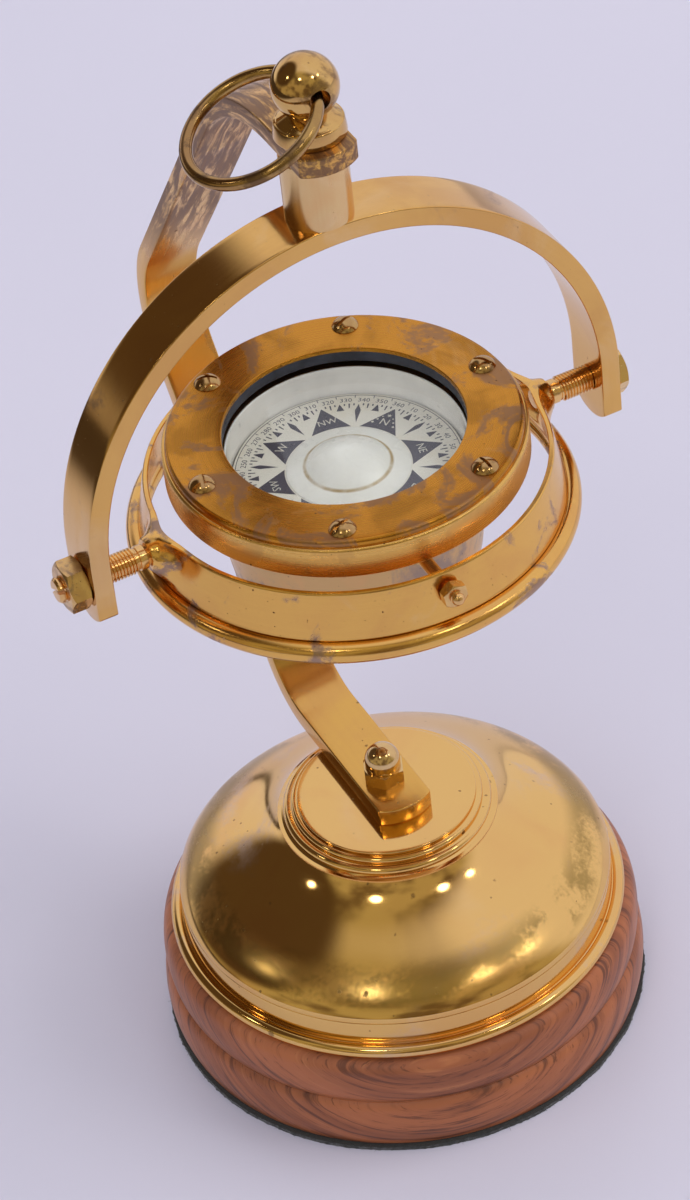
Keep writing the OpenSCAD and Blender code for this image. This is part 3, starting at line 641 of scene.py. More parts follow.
def wood_material():
    t = Tree("walnut_wood")
    x, y, z = t.split(t.pos)
    # the plank's rings lie in slanting planes, so the turned beads cut across them
    u = t.add(t.mul(x, 0.80), t.mul(y, 0.60))
    w = t.add(t.mul(x, -0.60), t.mul(y, 0.80))
    along = t.add(u, t.mul(z, 0.75))
    across = t.sub(z, t.add(t.mul(u, 0.75), t.mul(w, 0.55)))
    plank = t.join(t.mul(along, 0.05), t.mul(w, 0.05), across)
    band = t.noise(plank, 0.11, 3, 0.5, 0.2, 1.0)
    figure = t.noise(plank, 0.55, 4, 0.65, 0.1, 2.0)
    pores = t.noise(t.vec("MULTIPLY", plank, (2.2, 1.0, 1.0)), 1.7, 3, 0.7, 0.1, 3.0)
    color = t.mix(t.ramp(band, 0.38, 0.62), (0.400, 0.130, 0.050), (0.260, 0.082, 0.034))
    color = t.mix(t.ramp(figure, 0.50, 0.66, 0.0, 0.80), color, (0.090, 0.030, 0.018))
    color = t.mix(t.ramp(figure, 0.42, 0.28, 0.0, 0.55), color, (0.520, 0.200, 0.075))
    color = t.mix(t.ramp(pores, 0.58, 0.70, 0.0, 0.65), color, (0.065, 0.022, 0.013))
    color = t.mix(t.ramp(pores, 0.36, 0.25, 0.0, 0.25), color, (0.38, 0.17, 0.09))
    rough = t.add(t.mul(pores, 0.22), 0.26)
    normal = t.bump(pores, 0.18, 0.12)
    normal = t.bump(t.noise(t.pos, 0.25, 3, 0.5, 0.0, 4.0), 0.08, 0.3, normal)
    return t.principled(color, rough, normal, Specular_IOR_Level=0.4)


def felt_material():
    t = Tree("felt_cloth")
    fibres = t.noise(t.pos, 1.6, 5, 0.75, 1.5, 1.0)
    tone = t.noise(t.pos, 0.12, 3, 0.6, 0.0, 2.0)
    color = t.mix(fibres, (0.010, 0.012, 0.012), (0.060, 0.062, 0.060))
    color = t.mix(t.ramp(tone, 0.4, 0.7, 0.0, 0.4), color, (0.035, 0.028, 0.024))
    return t.principled(color, 0.95, t.bump(fibres, 0.8, 0.3), Sheen_Weight=0.3)


def plain(name, color, rough, variation, scale, bump, specular=0.5, **extra):
    """Paint, enamel, rubber or plain metal: a colour with slight drift and spots, its roughness
    broken up, and fine unevenness."""
    t = Tree(name)
    a = t.noise(t.pos, scale, 4, 0.6, 0.4, 1.0)
    b = t.noise(t.pos, scale * 7, 3, 0.6, 0.0, 2.0)
    darker = tuple(c * (1 - variation) for c in color)
    c = t.mix(t.ramp(a, 0.35, 0.7), color, darker)
    c = t.mix(t.mul(t.spots(t.pos, scale * 3, 0.22, 3.0), 0.35), c, tuple(v * 0.45 for v in color))
    r = t.add(t.mul(b, rough * 0.5), rough * 0.75)
    return t.principled(c, r, t.bump(b, bump, 0.1), Specular_IOR_Level=specular, **extra)


def card_material():
    t = Tree("card_face")
    paper = t.noise(t.pos, 1.2, 4, 0.6, 0.0, 1.0)
    stain = t.noise(t.pos, 0.05, 4, 0.6, 0.8, 2.0)
    color = t.mix(t.ramp(stain, 0.45, 0.7, 0.0, 0.5), (0.84, 0.80, 0.72), (0.76, 0.68, 0.54))
    color = t.mix(t.ramp(paper, 0.4, 0.7, 0.0, 0.12), color, (0.45, 0.42, 0.36))
    return t.principled(color, 0.42, t.bump(paper, 0.05, 0.05), Specular_IOR_Level=0.4)


def print_material(name, color):
    t = Tree(name)
    ink = t.noise(t.pos, 2.2, 4, 0.7, 0.0, 5.0)
    worn = tuple(min(1.0, v * 1.9 + 0.02) for v in color)
    c = t.mix(t.ramp(ink, 0.45, 0.75, 0.0, 0.35), color, worn)
    return t.principled(c, t.add(t.mul(ink, 0.2), 0.4), t.bump(ink, 0.03, 0.03))


def float_material():
    t = Tree("float_body")
    r = t.radius()
    cloud = t.noise(t.pos, 0.12, 4, 0.6, 0.4, 1.0)
    color = t.mix(t.ramp(cloud, 0.35, 0.7), (0.86, 0.84, 0.79), (0.80, 0.78, 0.73))
    foot = t.mul(t.ramp(t.math("ABSOLUTE", t.sub(r, 12.7)), 0.8, 0.1),
                  t.ramp(t.noise(t.pos, 0.10, 3, 0.6, 0.0, 4.0), 0.35, 0.6, 0.35, 1.0))
    color = t.mix(foot, color, (0.42, 0.29, 0.12))
    return t.principled(color, t.add(t.mul(cloud, 0.1), 0.22), t.bump(cloud, 0.02, 0.2),
                        Subsurface_Weight=0.08, Subsurface_Radius=(0.002, 0.0016, 0.001))


def glass_material():
    """Clear glass with faint smears, which lets the light of the lamps through to the card."""
    t = Tree("window_glass")
    smear = t.noise(t.pos, 0.06, 5, 0.6, 1.2, 1.0)
    glass = t.node("BsdfPrincipled", {"Base Color": (0.97, 0.985, 0.98), "Transmission Weight": 1.0,
                                      "IOR": 1.2, "Roughness": t.ramp(smear, 0.5, 0.8, 0.0, 0.03)})
    clear = t.node("BsdfTransparent", {"Color": (0.95, 0.97, 0.96)})
    light = t.math("MAXIMUM", t.path("Is Shadow Ray"), t.path("Is Diffuse Ray"))
    return t.surface(t.node("MixShader", {0: light, 1: glass.outputs[0], 2: clear.outputs[0]}))


WOOD_MAT = wood_material()
FELT_MAT = felt_material()
GASKET_MAT = plain("gasket_rubber", (0.060, 0.064, 0.085), 0.55, 0.4, 0.15, 0.2, 0.35)
ENAMEL_MAT = plain("enamel_white", (0.97, 0.94, 0.90), 0.12, 0.10, 0.06, 0.03, 0.5,
                   Coat_Weight=0.4, Coat_Roughness=0.08)
LEAD_MAT = plain("ballast_lead", (0.30, 0.31, 0.33), 0.6, 0.3, 0.2, 0.2, 0.4)
STEEL_MAT = plain("plain_steel", (0.55, 0.56, 0.58), 0.3, 0.2, 0.2, 0.1, 0.5, Metallic=1.0)
JEWEL_MAT = plain("jewel_red", (0.40, 0.04, 0.06), 0.12, 0.1, 0.4, 0.02, 0.5)
CARD_MAT = card_material()
DARK_INK = print_material("print_dark", (0.060, 0.055, 0.080))
LIGHT_INK = print_material("print_light", (0.66, 0.63, 0.55))
FLOAT_MAT = float_material()
GLASS_MAT = glass_material()


# Stand
def bead(r, z0, z1, belly, top_arc, low_arc):
    """Outline of a turned bead from its lower to its upper edge."""
    zm = (z0 + z1) / 2
    cx = r - belly
    tx = cx + sqrt((belly - top_arc) ** 2 - (z1 - top_arc - zm) ** 2)
    lx = cx + sqrt((belly - low_arc) ** 2 - (z0 + low_arc - zm) ** 2)
    a_low = degrees(atan2(z0 + low_arc - zm, lx - cx))
    a_top = degrees(atan2(z1 - top_arc - zm, tx - cx))
    return (arc(lx, z0 + low_arc, low_arc, -90, a_low, 9)
            + arc(cx, zm, belly, a_low, a_top, 2.5)[1:]
            + arc(tx, z1 - top_arc, top_arc, a_top, 90, 9)[1:])


def make_felt():
    rng = random.Random(4)
    bore_r, edge = STUD_BORE_R + 0.05, 0.2
    section = [(bore_r, 0.0), (FELT_R, 0.0, edge), (FELT_R, FELT_TOP, edge), (bore_r, FELT_TOP)]
    part = lathe(rounded(section), 900)
    for i, (x, y, z) in enumerate(part.verts):
        r = hypot(x, y)
        if r > FELT_R - 6:
            a = atan2(y, x)
            wave = noise.noise(Vector((cos(a) * 9, sin(a) * 9, 0.0)))
            fray = noise.noise(Vector((cos(a) * 60, sin(a) * 60, z)))
            k = 1 + (0.35 * wave + 0.5 * max(0.0, fray) + rng.uniform(0.0, 0.12)) / r
            part.verts[i] = (x * k, y * k, z)
    build("felt_disc", part, "stand", ["base_felt"], FELT_MAT, 60)

    strands = Part()
    root_r = FELT_R - 0.3
    for k in range(120):
        a = rng.uniform(0, 2 * pi)
        long = rng.uniform(0.5, 1.3) * (1.9 if rng.random() < 0.06 else 1.0)
        lean = rng.uniform(-1.1, 1.1)
        z = rng.uniform(0.25, 1.2)
        rows = []
        for i in range(5):
            q = i / 4
            rr = root_r + long * q * cos(lean)
            aa = a + (long * sin(lean) * q + 0.3 * sin(3 * q + k)) / root_r
            w = 0.07 * (1 - 0.7 * q)
            row = []
            for dz, da in ((w, 0.0), (-w / 2, w), (-w / 2, -w)):
                turn = aa + da / root_r
                height = max(0.06, z * (1 - 0.7 * q) + dz)
                row.append(strands.add((rr * cos(turn), rr * sin(turn), height), (0.0, 0.0, 0.0)))
            rows.append(row)
        skin(strands, rows)
        strands.faces += [tuple(rows[0]), tuple(rows[-1])]
    build("felt_fibres", strands, "stand", [], FELT_MAT)


def make_wood():
    groove_r, recess_r, recess_top = 73.5, 12.5, 14.0
    low_bead = bead(76.3, FELT_TOP, 20.2, 28, 5, 1)
    high_bead = bead(75.2, 17.7, COVER_Z, 22, 5, 5)
    loop = [(recess_r, FELT_TOP)]
    loop += [p for p in low_bead if p[0] > groove_r + 0.1 or p[1] < 10]
    loop += [(groove_r, 19.44)]
    loop += [p for p in high_bead if p[0] > groove_r + 0.1 or p[1] > 27]
    loop += rounded([(STUD_BORE_R, COVER_Z), (STUD_BORE_R, recess_top), (recess_r, recess_top)],
                    False)
    build("turned_foot", lathe(refine(loop, 3.0), 240), "stand", ["wood_base"], WOOD_MAT,
          40)


def make_cover():
    """Rim, skirt with a scribed line, dome, two neck beads and the flat top, then the inside."""
    shoulder, neck = (67.6, 14.0), (34.2, 39.0)
    top, inner_top = 45.3, 43.2
    dome = bezier(shoulder, (61.3, 24.91), (41.885, 29.27), neck, 30)
    outer = arc(69.3, 2.1, 2.3, -65.9, 122, 9)
    outer += rounded([(67.75, 4.15), (67.9, 4.5, 0.2), (67.65, 12.0, 0.1), (67.52, 12.2, 0.1),
                      (67.62, 12.45, 0.1), (*shoulder, 1.3), dome[2]], False)[:-1]
    outer += dome[2:]
    outer += rounded([(34.2, 39.6, 0.4), (33.0, 39.75, 0.3), (32.2, 40.2)], False)
    outer += arc(30.9, 41.0, 1.5, -28, 84, 12)
    outer += arc(28.6, 43.1, 1.1, -34, 78, 12)
    outer += rounded([(27.3, 44.05, 0.1), (27.8, 44.2, 0.15), (27.8, top, 0.35),
                      (STUD_BORE_R, top)], False)
    inner = [(STUD_BORE_R, inner_top), (26.4, inner_top), (27.8, 39.5), (33.0, 37.5), (36.3, 33.4),
             (57.5, 21.4), (66.4, 12.5), (66.4, 0.0)]
    part = lathe_at(COVER_Z, refine(outer + inner, 2.5), 288)
    # hand-worn sheet: slight waves in the dome, which bend its reflections
    wave_in, wave_out, blend = 34.5, 66.5, 6
    for i, (x, y, z) in enumerate(part.verts):
        r = hypot(x, y)
        if wave_in < r < wave_out and z > COVER_Z + 15:
            w = noise.noise(Vector((x, y, z)) * 0.035) * 0.14
            w += noise.noise(Vector((x, y, z)) * 0.09) * 0.035
            fade = min(1.0, (r - wave_in) / blend, (wave_out - r) / blend)
            part.verts[i] = (x, y, z + (w - 0.08) * fade)
    build("dome_cover", part, "stand", ["base_cover"], COVER_MAT, 28)


def bar_path(corners, turns, radii, start, end, step=2.5):
    """Centreline stations in the YZ plane: straight, three bends, straight."""
    headings = [0, ARM_SLOPE, 180 - ARM_SLOPE]
    pts = [(Vector((0, start, corners[0][1])), 0.0)]
    for (y, z), h, turn, r in zip(corners, headings, turns, radii):
        lead = r * tan(radians(turn / 2))
        hd = Vector((0, cos(radians(h)), sin(radians(h))))
        left = Vector((0, -sin(radians(h)), cos(radians(h))))
        first = Vector((0, y, z)) - hd * lead
        centre = first + left * r
        prev = pts[-1][0]
        k = int((first - prev).length / 12)
        pts += [(prev + (first - prev) * i / k, float(h)) for i in range(1, k)]
        n = max(4, int(turn / step))
        for i in range(n + 1):
            a = radians(h + turn * i / n)
            pts.append((centre + r * Vector((0, sin(a), -cos(a))), degrees(a)))
    prev = pts[-1][0]
    last = Vector((0, end, corners[2][1]))
    k = max(1, int((last - prev).length / 8))
    pts += [(prev + (last - prev) * i / k, 180.0) for i in range(1, k + 1)]
    side = Vector((1, 0, 0))
    out = []
    for p, a in pts:
        t = Vector((0, cos(radians(a)), sin(radians(a))))
        out.append((p, t, side.cross(t), side))
    return out


def end_y(r):
    """How far from the axis an arm's end arc of radius r meets the bar's edges."""
    return sqrt(r ** 2 - (ARM_W / 2) ** 2)


def make_arm():
    foot_zc = DISC_Z + ARM_T / 2
    top_zc = ARM_TOP + ARM_T / 2
    turn = 180 - 2 * ARM_SLOPE
    knee_z, knee_bend, knee_out = 196.5, 36, 127.2
    knee_y = knee_out - ARM_T / 2 + knee_bend * (1 / cos(radians(turn / 2)) - 1)
    foot_y = knee_y - (knee_z - foot_zc) / tan(radians(ARM_SLOPE))
    top_y = knee_y - (top_zc - knee_z) / tan(radians(ARM_SLOPE))
    corners = [(foot_y, foot_zc), (knee_y, knee_z), (top_y, top_zc)]
    stations = bar_path(corners, (ARM_SLOPE, turn, ARM_SLOPE), (25, knee_bend, 57),
                        -end_y(FOOT_END_R), -end_y(TOP_END_R))
    bar = sweep(stations, ARM_W, ARM_T, 0.45, (FOOT_END_R, TOP_END_R))
    build("bent_arm", bar, "stand", ["arm"], ARM_MAT, 40)


def make_dome_nut():
    hex_h, bevel, cap_r, cap_z = 4.6, 0.35, 5.5, 7.0
    r = 11.8 / 2 / cos(radians(30))
    blank = lathe(rounded([(0, 0), (6.5, 0, 0.3), (r, bevel), (r, hex_h - 0.45), (6.1, hex_h, 0.2),
                           (0, hex_h)], False), 96, False)
    prism = lathe([(0, -1), (r, -1), (r, 6), (0, 6)], 6, False)
    nut = boolean(blank, prism, "INTERSECT")
    neck = rounded([(5.25, hex_h), (cap_r, 4.75, 0.2), (cap_r, 6.7), (cap_r, cap_z)], False)
    cap = lathe([(0, 4.1), (5.25, 4.1)] + neck + arc(0, cap_z, cap_r, 3, 90, 5), 96, False)
    m = shift(0, 0, FOOT_TOP)
    build("acorn_nut", [nut.moved(m @ turned("Z", 7)), cap.moved(m)], "stand", ["dome_nut"],
          DOME_MAT, 30)


def make_finial():
    z0 = ARM_TOP + ARM_T
    collar = rounded([(0, 0), (10.4, 0, 0.5), (9.8, 4.6, 0.9), (9.1, 4.8, 0.3), (8.8, 5.1, 0.4),
                      (5.3, 7.0, 0.8), (5.0, 7.2)], False)
    ball = arc(0, BALL_Z - z0, BALL_R, -57.4, 90, 3)
    body = lathe_at(z0, collar + ball, 120, False)
    hole_r, mouth_r, depth = 3.0, 3.215, 8.4
    hole = lathe([(0, -20), (hole_r, -20), (mouth_r, -depth), (mouth_r, depth), (hole_r, 20),
                  (0, 20)], 64, False)
    cut = boolean(body, hole.moved(shift(0, 0, BALL_Z) @ turned("X", 90)))
    build("ball_finial", cut, "stand", ["finial"], BALL_MAT, 34)


def make_lifting_ring():
    part = Part()
    n, m = 220, 28
    for i in range(n):
        a = 2 * pi * i / n
        r = WIRE_R * (1.0 - 0.05 * max(0.0, cos(a)) ** 6)  # worn where a hook pulls
        for j in range(m):
            b = 2 * pi * j / m
            out = LIFT_R + r * cos(b)
            part.add((out * cos(a), out * sin(a), r * sin(b)),
                     (19 * cos(a), 19 * sin(a), WIRE_R * b))
    part.faces = closed_grid(n, m)
    sag = (LIFT_R - sqrt(LIFT_R ** 2 - BALL_R ** 2)) / 2
    place = shift(0, 0, BALL_Z) @ turned("Y", -22) @ shift(sag - LIFT_R, 0, 0)
    build("lifting_ring_wire", part.moved(place), "lifting_ring", ["lifting_ring"],
          WIRE_MAT, 60)


# Yoke
def make_yoke():
    side = Vector((0, 1, 0))
    end_r = 12.7
    low = PIN_Z - sqrt(end_r ** 2 - (BAR_W / 2) ** 2)
    leg = (low, low + 2, PIN_Z - 4, PIN_Z, PIN_Z + 4)
    stations = [(Vector((-ARCH_R, 0, z)), Vector((0, 0, 1))) for z in leg]
    for i in range(91):
        a = radians(180 - 2 * i)
        stations.append((Vector((ARCH_R * cos(a), 0, ARCH_Z + ARCH_R * sin(a))),
                         Vector((sin(a), 0, -cos(a)))))
    stations += [(Vector((ARCH_R, 0, z)), Vector((0, 0, -1))) for z in leg[::-1]]
    frames = [(o, t, side.cross(t), side) for o, t in stations]
    part = sweep(frames, BAR_W, BAR_T, 0.4, (end_r, end_r))
    build("yoke_bow", part, "yoke", ["yoke"], YOKE_MAT, 40)


def make_boss():
    """A sleeve whose foot follows the yoke's crown."""
    bore_r, top, foot = 4.05, ARM_TOP - 0.25, ARCH_Z + YOKE_OUT
    profile = rounded([(bore_r, top), (BOSS_R, top, 0.35), (BOSS_R, foot)], False)
    profile += [(BOSS_R - 0.02, foot - 0.01), (bore_r, foot - 0.01)]
    part = lathe(refine(profile, 2.0), 128)
    straight = top - 1.0
    for i, (x, y, z) in enumerate(part.verts):
        drop = YOKE_OUT - sqrt(YOKE_OUT ** 2 - x * x)
        k = max(0.0, min(1.0, (straight - z) / (straight - foot)))
        part.verts[i] = (x, y, z - drop * k)
    build("crown_boss", part, "yoke", ["yoke_boss"], BOSS_MAT, 34)


def hex_nut(af, h, bore, edge, n=96):
    """A hexagon nut along +X from x = 0, chamfered at both ends."""
    r = af / 2 / cos(radians(30))
    f = af / 2 * 0.965
    rise = (r - f) * tan(radians(30))
    corner = r + 0.02
    body = lathe(rounded([(bore, 0), (f, 0, 0.15), (corner, rise, edge), (corner, h - rise, edge),
                          (f, h, 0.15), (bore, h)]), n)
    prism = lathe([(0, -1), (r, -1), (r, h + 1), (0, h + 1)], 6, False)
    return boolean(body, prism, "INTERSECT").moved(TO_X)


def large_pin(end):
    """Along +X: journal, collar, groove, thread, chamfer and a slotted end."""
    tip, collar, collar_r, root_r, groove_r = 60.8, 66.0, 3.7, 3.42, 3.2
    core = lathe(rounded([(0, tip), (JOURNAL_R, tip, 0.4), (JOURNAL_R, collar),
                          (collar_r, collar, 0.25), (collar_r, 68.35, 0.1), (groove_r, 68.5),
                          (groove_r, 68.95), (root_r, 69.1), (root_r, end - 1.3), (3.9, end - 1.2),
                          (3.9, end - 0.75), (3.25, end, 0.2), (0, end)], False), 72, False)
    ridge = thread(root_r, 4.0, 1.0, 69.3, end - 0.9)
    floor, side, half = end - 1.8, 12, 0.6
    core = boolean(core, box_part((-side, -half, floor), (side, half, end + 2))).moved(TO_X)
    ridge = boolean(ridge, box_part((floor, -side, -half), (end + 2, side, half)))
    return [core.moved(turned("X", 90)), ridge]


def make_large_pins():
    for name, side, past, turn, nut_h in (("left", 180, 8.5, 28, 6.35), ("right", 0, 3.8, 70, 4.0)):
        m = shift(0, 0, PIN_Z) @ turned("Z", side)
        pin = [p.moved(m @ turned("X", turn)) for p in large_pin(YOKE_OUT + past)]
        build("threaded_pin_" + name, pin, "yoke", ["gimbal_pin_" + name], PIN_MAT,
              30)
        nut = hex_nut(14.0, nut_h, 3.9, 0.3).moved(m @ shift(YOKE_OUT, 0, 0) @ turned("X", 30))
        build("pin_nut_" + name, nut, "yoke", ["gimbal_nut_" + name], NUT_MAT, 30)


# Gimbal ring
def clamped(v):
    return max(0.0, min(1.0, v))


def funnel_lift(x, y, z, is_out):
    """How far the band's face is drawn out along X by the funnel boss round the pin."""
    rho = hypot(y, z)
    tip_r, tip_x, base_r = (4.9, 65.5, 13.4) if is_out else (3.4, 62.6, 11.8)
    flare = (1 - clamped((rho - tip_r) / (base_r - tip_r))) ** 2.3
    if rho < tip_r + 0.8:
        flare -= 0.05 * max(0.0, (rho - tip_r + 0.8) / 1.6) ** 2
    fade = clamped((z - FUNNEL_LOW) / 2.5)
    hold = clamped((z - 1.0) / 4.8) * clamped((rho - 5.1) / 0.7)
    return max(0.0, (tip_x - abs(x)) * flare * fade * fade * (3 - 2 * fade) * (1 - 0.5 * hold))


def ring_wall(r, z):
    """Radius at height z of a face of the coned band that is r at its upper edge."""
    return r + RING_CONE * (4.2 - z)


def make_gimbal_ring():
    inner_r, outer_r = 57.9, 59.5
    inner = [(ring_wall(inner_r, z), z) for z in [-11.0 + 15.2 * i / 44 for i in range(45)]]
    inner = [p for p in inner if p[1] < 3.95] + [(57.95, 3.95), (58.2, 4.2)]
    outer = [(59.2, 4.2), (outer_r, 3.9)]
    outer += [(ring_wall(outer_r, z), z) for z in [3.7 - 14.1 * i / 42 for i in range(43)]]
    crease = rounded([(62.5, -10.45), (62.45, -10.75, 0.15), (61.85, -10.95, 0.15),
                      (61.8, -11.35)], False)
    bead_loop = arc(63.3, -14.0, 3.2, 118, -218.6, 7)
    section = [(r, z + RING_RISE) for r, z in outer + crease + bead_loop + inner]

    # columns of vertices, closer together round the funnels
    columns = []
    a = 0.0
    while a < 360 - 1e-6:
        near = min(a % 180, 180 - a % 180)
        columns.append(a)
        a += 0.4 if near < 14.5 else (1.0 if near < 20 else 2.0)
    part = Part()
    for deg in columns:
        ca, sa = cos(radians(deg)), sin(radians(deg))
        for j, (r, z) in enumerate(section):
            x, y = r * ca, r * sa
            if z > FUNNEL_LOW and abs(deg % 180 - 90) > 70:
                lift = funnel_lift(x, y, z, j < len(outer) + 1)
                x += lift if ca > 0 else -lift
            part.add((x, y, z), (20 * ca, 20 * sa, z + r))
    part.faces = closed_grid(len(columns), len(section))
    # the rim is worn and a little uneven
    for i, (x, y, z) in enumerate(part.verts):
        if z > 4.6:
            a = atan2(y, x)
            worn = noise.noise(Vector((cos(a) * 7, sin(a) * 7, 1.0)))
            part.verts[i] = (x, y, z - 0.12 * max(0.0, worn))
    build("gimbal_band", part.moved(shift(0, 0, PIN_Z)), "gimbal_ring", ["gimbal_ring"],
          RING_MAT, 38)


def make_small_pins():
    root_r, journal, shank, end = 1.7, 38.6, 42.9, 65.4
    core = rounded([(0, journal), (SMALL_JOURNAL_R, journal, 0.2), (SMALL_JOURNAL_R, shank),
                    (root_r, shank), (root_r, end)], False)
    core += [(1.92, end + 0.1)] + arc(0, end + 0.1, 1.95, 4, 90, 12)
    core = lathe(core, 48, False).moved(TO_X)
    ridge = thread(root_r, 2.0, 0.7, shank + 0.3, end, 28)
    nut = hex_nut(7.0, 3.2, 1.9, 0.15, 72)
    nut_x = 59.5 + RING_CONE * 9.3 + 0.05
    nuts = []
    for name, side, twist in (("front", -90, 8), ("rear", 90, 30)):
        m = shift(0, 0, PIN_Z) @ turned("Z", side)
        build("small_pin_" + name, [core.moved(m), ridge.moved(m)], "gimbal_ring",
              ["bowl_pin_" + name], PIN_MAT, 30)
        nuts.append(nut.moved(m @ shift(nut_x, 0, 0) @ turned("X", twist)))
    build("small_nuts", nuts, "gimbal_ring", ["bowl_pin_nuts"], NUT_MAT, 30)


# Bowl
def sphere_cap(r, h):
    """Radius of the sphere whose cap is r wide and h high, and the cap's lowest angle."""
    ball = (r ** 2 + h ** 2) / (2 * h)
    return ball, degrees(asin((ball - h) / ball))


def make_bezel():
    top, cap_r, seat, under = 18.2, 51.8, 16.9, 12.7
    loop = rounded([(35.3, seat), (35.3, top, 0.35), (cap_r, top, 1.9), (cap_r, 15.75)], False, 12)
    loop += arc(52.1, 15.1, 0.9, 112, 0, 14)
    loop += rounded([(BEZEL_R, 14.9), (BEZEL_R, 6.2, 0.3), (51.25, 6.2, 0.2), (51.25, under),
                     (42.1, under), (42.1, seat)], False)
    part = lathe(refine([(r, z + PIN_Z) for r, z in loop], 2.0), 256)
    build("bezel_cap", part, "bowl", ["bezel_ring"], BEZEL_MAT, 30)
    head_r, head_h, screw_circle = 4.1, 2.5, 46.2
    ball, low = sphere_cap(head_r, head_h)
    profile = [(0, -0.02), (head_r - 0.15, -0.02)] + arc(0, head_h - ball, ball, low + 2.5, 90, 6)
    slot = box_part((-6, -0.5, 1.35), (6, 0.5, 4))
    heads = []
    for i, slot_turn in enumerate((128, 20, 158, 74, 15, 100)):
        head = boolean(lathe(profile, 64, False), slot.moved(turned("Z", slot_turn)))
        a = radians(60 * i + 2)
        place = shift(screw_circle * cos(a), screw_circle * sin(a), PIN_Z + top)
        heads.append(head.moved(place @ turned("X", 1.5 - i % 3)))
    build("bezel_screw_heads", heads, "bowl", ["bezel_screws"], SCREW_MAT, 30)


def make_window():
    low, glass_top, seat = 10.7, 13.2, 16.9
    gasket = rounded([(35.6, glass_top), (35.35, 13.6, 0.2), (35.35, 16.5, 0.2), (35.6, seat),
                      (WINDOW_R, seat), (WINDOW_R, glass_top)])
    build("gasket_ring", lathe_at(PIN_Z, refine(gasket, 2.0), 192), "bowl", ["glass_gasket"],
          GASKET_MAT, 30)
    glass = rounded([(0, low), (WINDOW_R, low, 0.3), (WINDOW_R, glass_top, 0.3), (0, glass_top)],
                    False)
    build("window_pane", lathe_at(PIN_Z, refine(glass, 4.0, False), 192, False), "bowl",
          ["cover_glass"], GLASS_MAT, 30)
    out_r, foot, rim = 35.25, -2.3, 10.65
    liner = rounded([(34.15, foot), (out_r, foot), (out_r, rim), (34.95, rim, 0.15),
                     (34.75, 10.5, 0.1)])
    build("enamel_wall", lathe_at(PIN_Z, refine(liner, 1.5), 192), "bowl", ["bowl_liner"],
          ENAMEL_MAT, 30)


# Card
def flat_part(polygons, z):
    """Flat plates from polygons of (x, y) points."""
    part = Part()
    for poly in polygons:
        base = len(part.verts)
        part.verts += [(x, y, z) for x, y in poly]
        part.faces.append(tuple(range(base, base + len(poly))))
    part.flow = [(v[0], v[1], v[2]) for v in part.verts]
    return part


def on_card(bearing, points):
    """Points given as (to the right, outward), turned to a bearing clockwise from north."""
    a = radians(HEADING - bearing)
    return [(r * cos(a) + t * sin(a), r * sin(a) - t * cos(a)) for t, r in points]


def arc_band(r0, r1, n):
    """A full circle's band of n flat quads."""
    inner, outer = ([on_card(360 * i / n, [(0, r)])[0] for i in range(n + 1)] for r in (r0, r1))
    return [(a, b, c, d) for a, b, d, c in zip(inner, inner[1:], outer, outer[1:])]


def curved_base(half, r):
    """The bottom edge of a point, along the circle r, from left to right."""
    across = [-half + 2 * half * i / 8 for i in range(9)]
    return [(x, sqrt(r * r - x ** 2)) for x in across]


def letters(text, height, r, bearing, z, width=1.0):
    """The text as a flat part, its tops outward, centred at radius r."""
    curve = bpy.data.curves.new("letters", "FONT")
    curve.body = text
    curve.align_x = "CENTER"
    curve.align_y = "CENTER"
    curve.size = height * 1.38
    curve.space_character = 1.02
    curve.resolution_u = 2
    obj = bpy.data.objects.new("letters", curve)
    bpy.context.scene.collection.objects.link(obj)
    deps = bpy.context.evaluated_depsgraph_get()
    me = bpy.data.meshes.new_from_object(obj.evaluated_get(deps))
    pts = [on_card(bearing, [(v.co.x * width, r + v.co.y)])[0] for v in me.vertices]
    part = Part([(x, y, z) for x, y in pts], [tuple(p.vertices) for p in me.polygons])
    bpy.data.objects.remove(obj)
    bpy.data.meshes.remove(me)
    return part


def make_card():
    make_float()
    z = CARD_Z + 0.04
    build("dial_print_dark", dark_print(z), "card", [], DARK_INK, 60)
    build("dial_print_light", light_print(z + 0.04), "card", [], LIGHT_INK, 60)


def make_float():
    bore, low, top, card_r, edge = 3.98, 0.9, 1.5, 33.8, 0.15
    disc = rounded([(bore, low), (card_r, low, edge), (card_r, top, edge), (bore, top)])
    build("card_disc", lathe_at(PIN_Z, refine(disc, 3.0), 192), "card", ["compass_card"],
          CARD_MAT, 30)
    hub = rounded([(12.0, 1.52), (18.4, 1.52, 0.05), (18.1, 1.75, 0.2), (13.0, 2.95, 0.6),
                   (12.4, 3.3, 0.2), (12.0, 3.3)])
    build("card_hub", lathe_at(PIN_Z, refine(hub, 0.8), 160), "card", [], FLOAT_MAT, 40)
    cap_h, cap_z = 4.0, 3.2
    ball, low = sphere_cap(FLOAT_R, cap_h)
    dome = [(4.0, 3.1), (FLOAT_R - 0.05, 3.1)] + arc(0, cap_z + cap_h - ball, ball, low, 90, 3)
    build("float_dome", lathe_at(PIN_Z, dome, 128, False), "card", ["card_float"],
          FLOAT_MAT, 30)


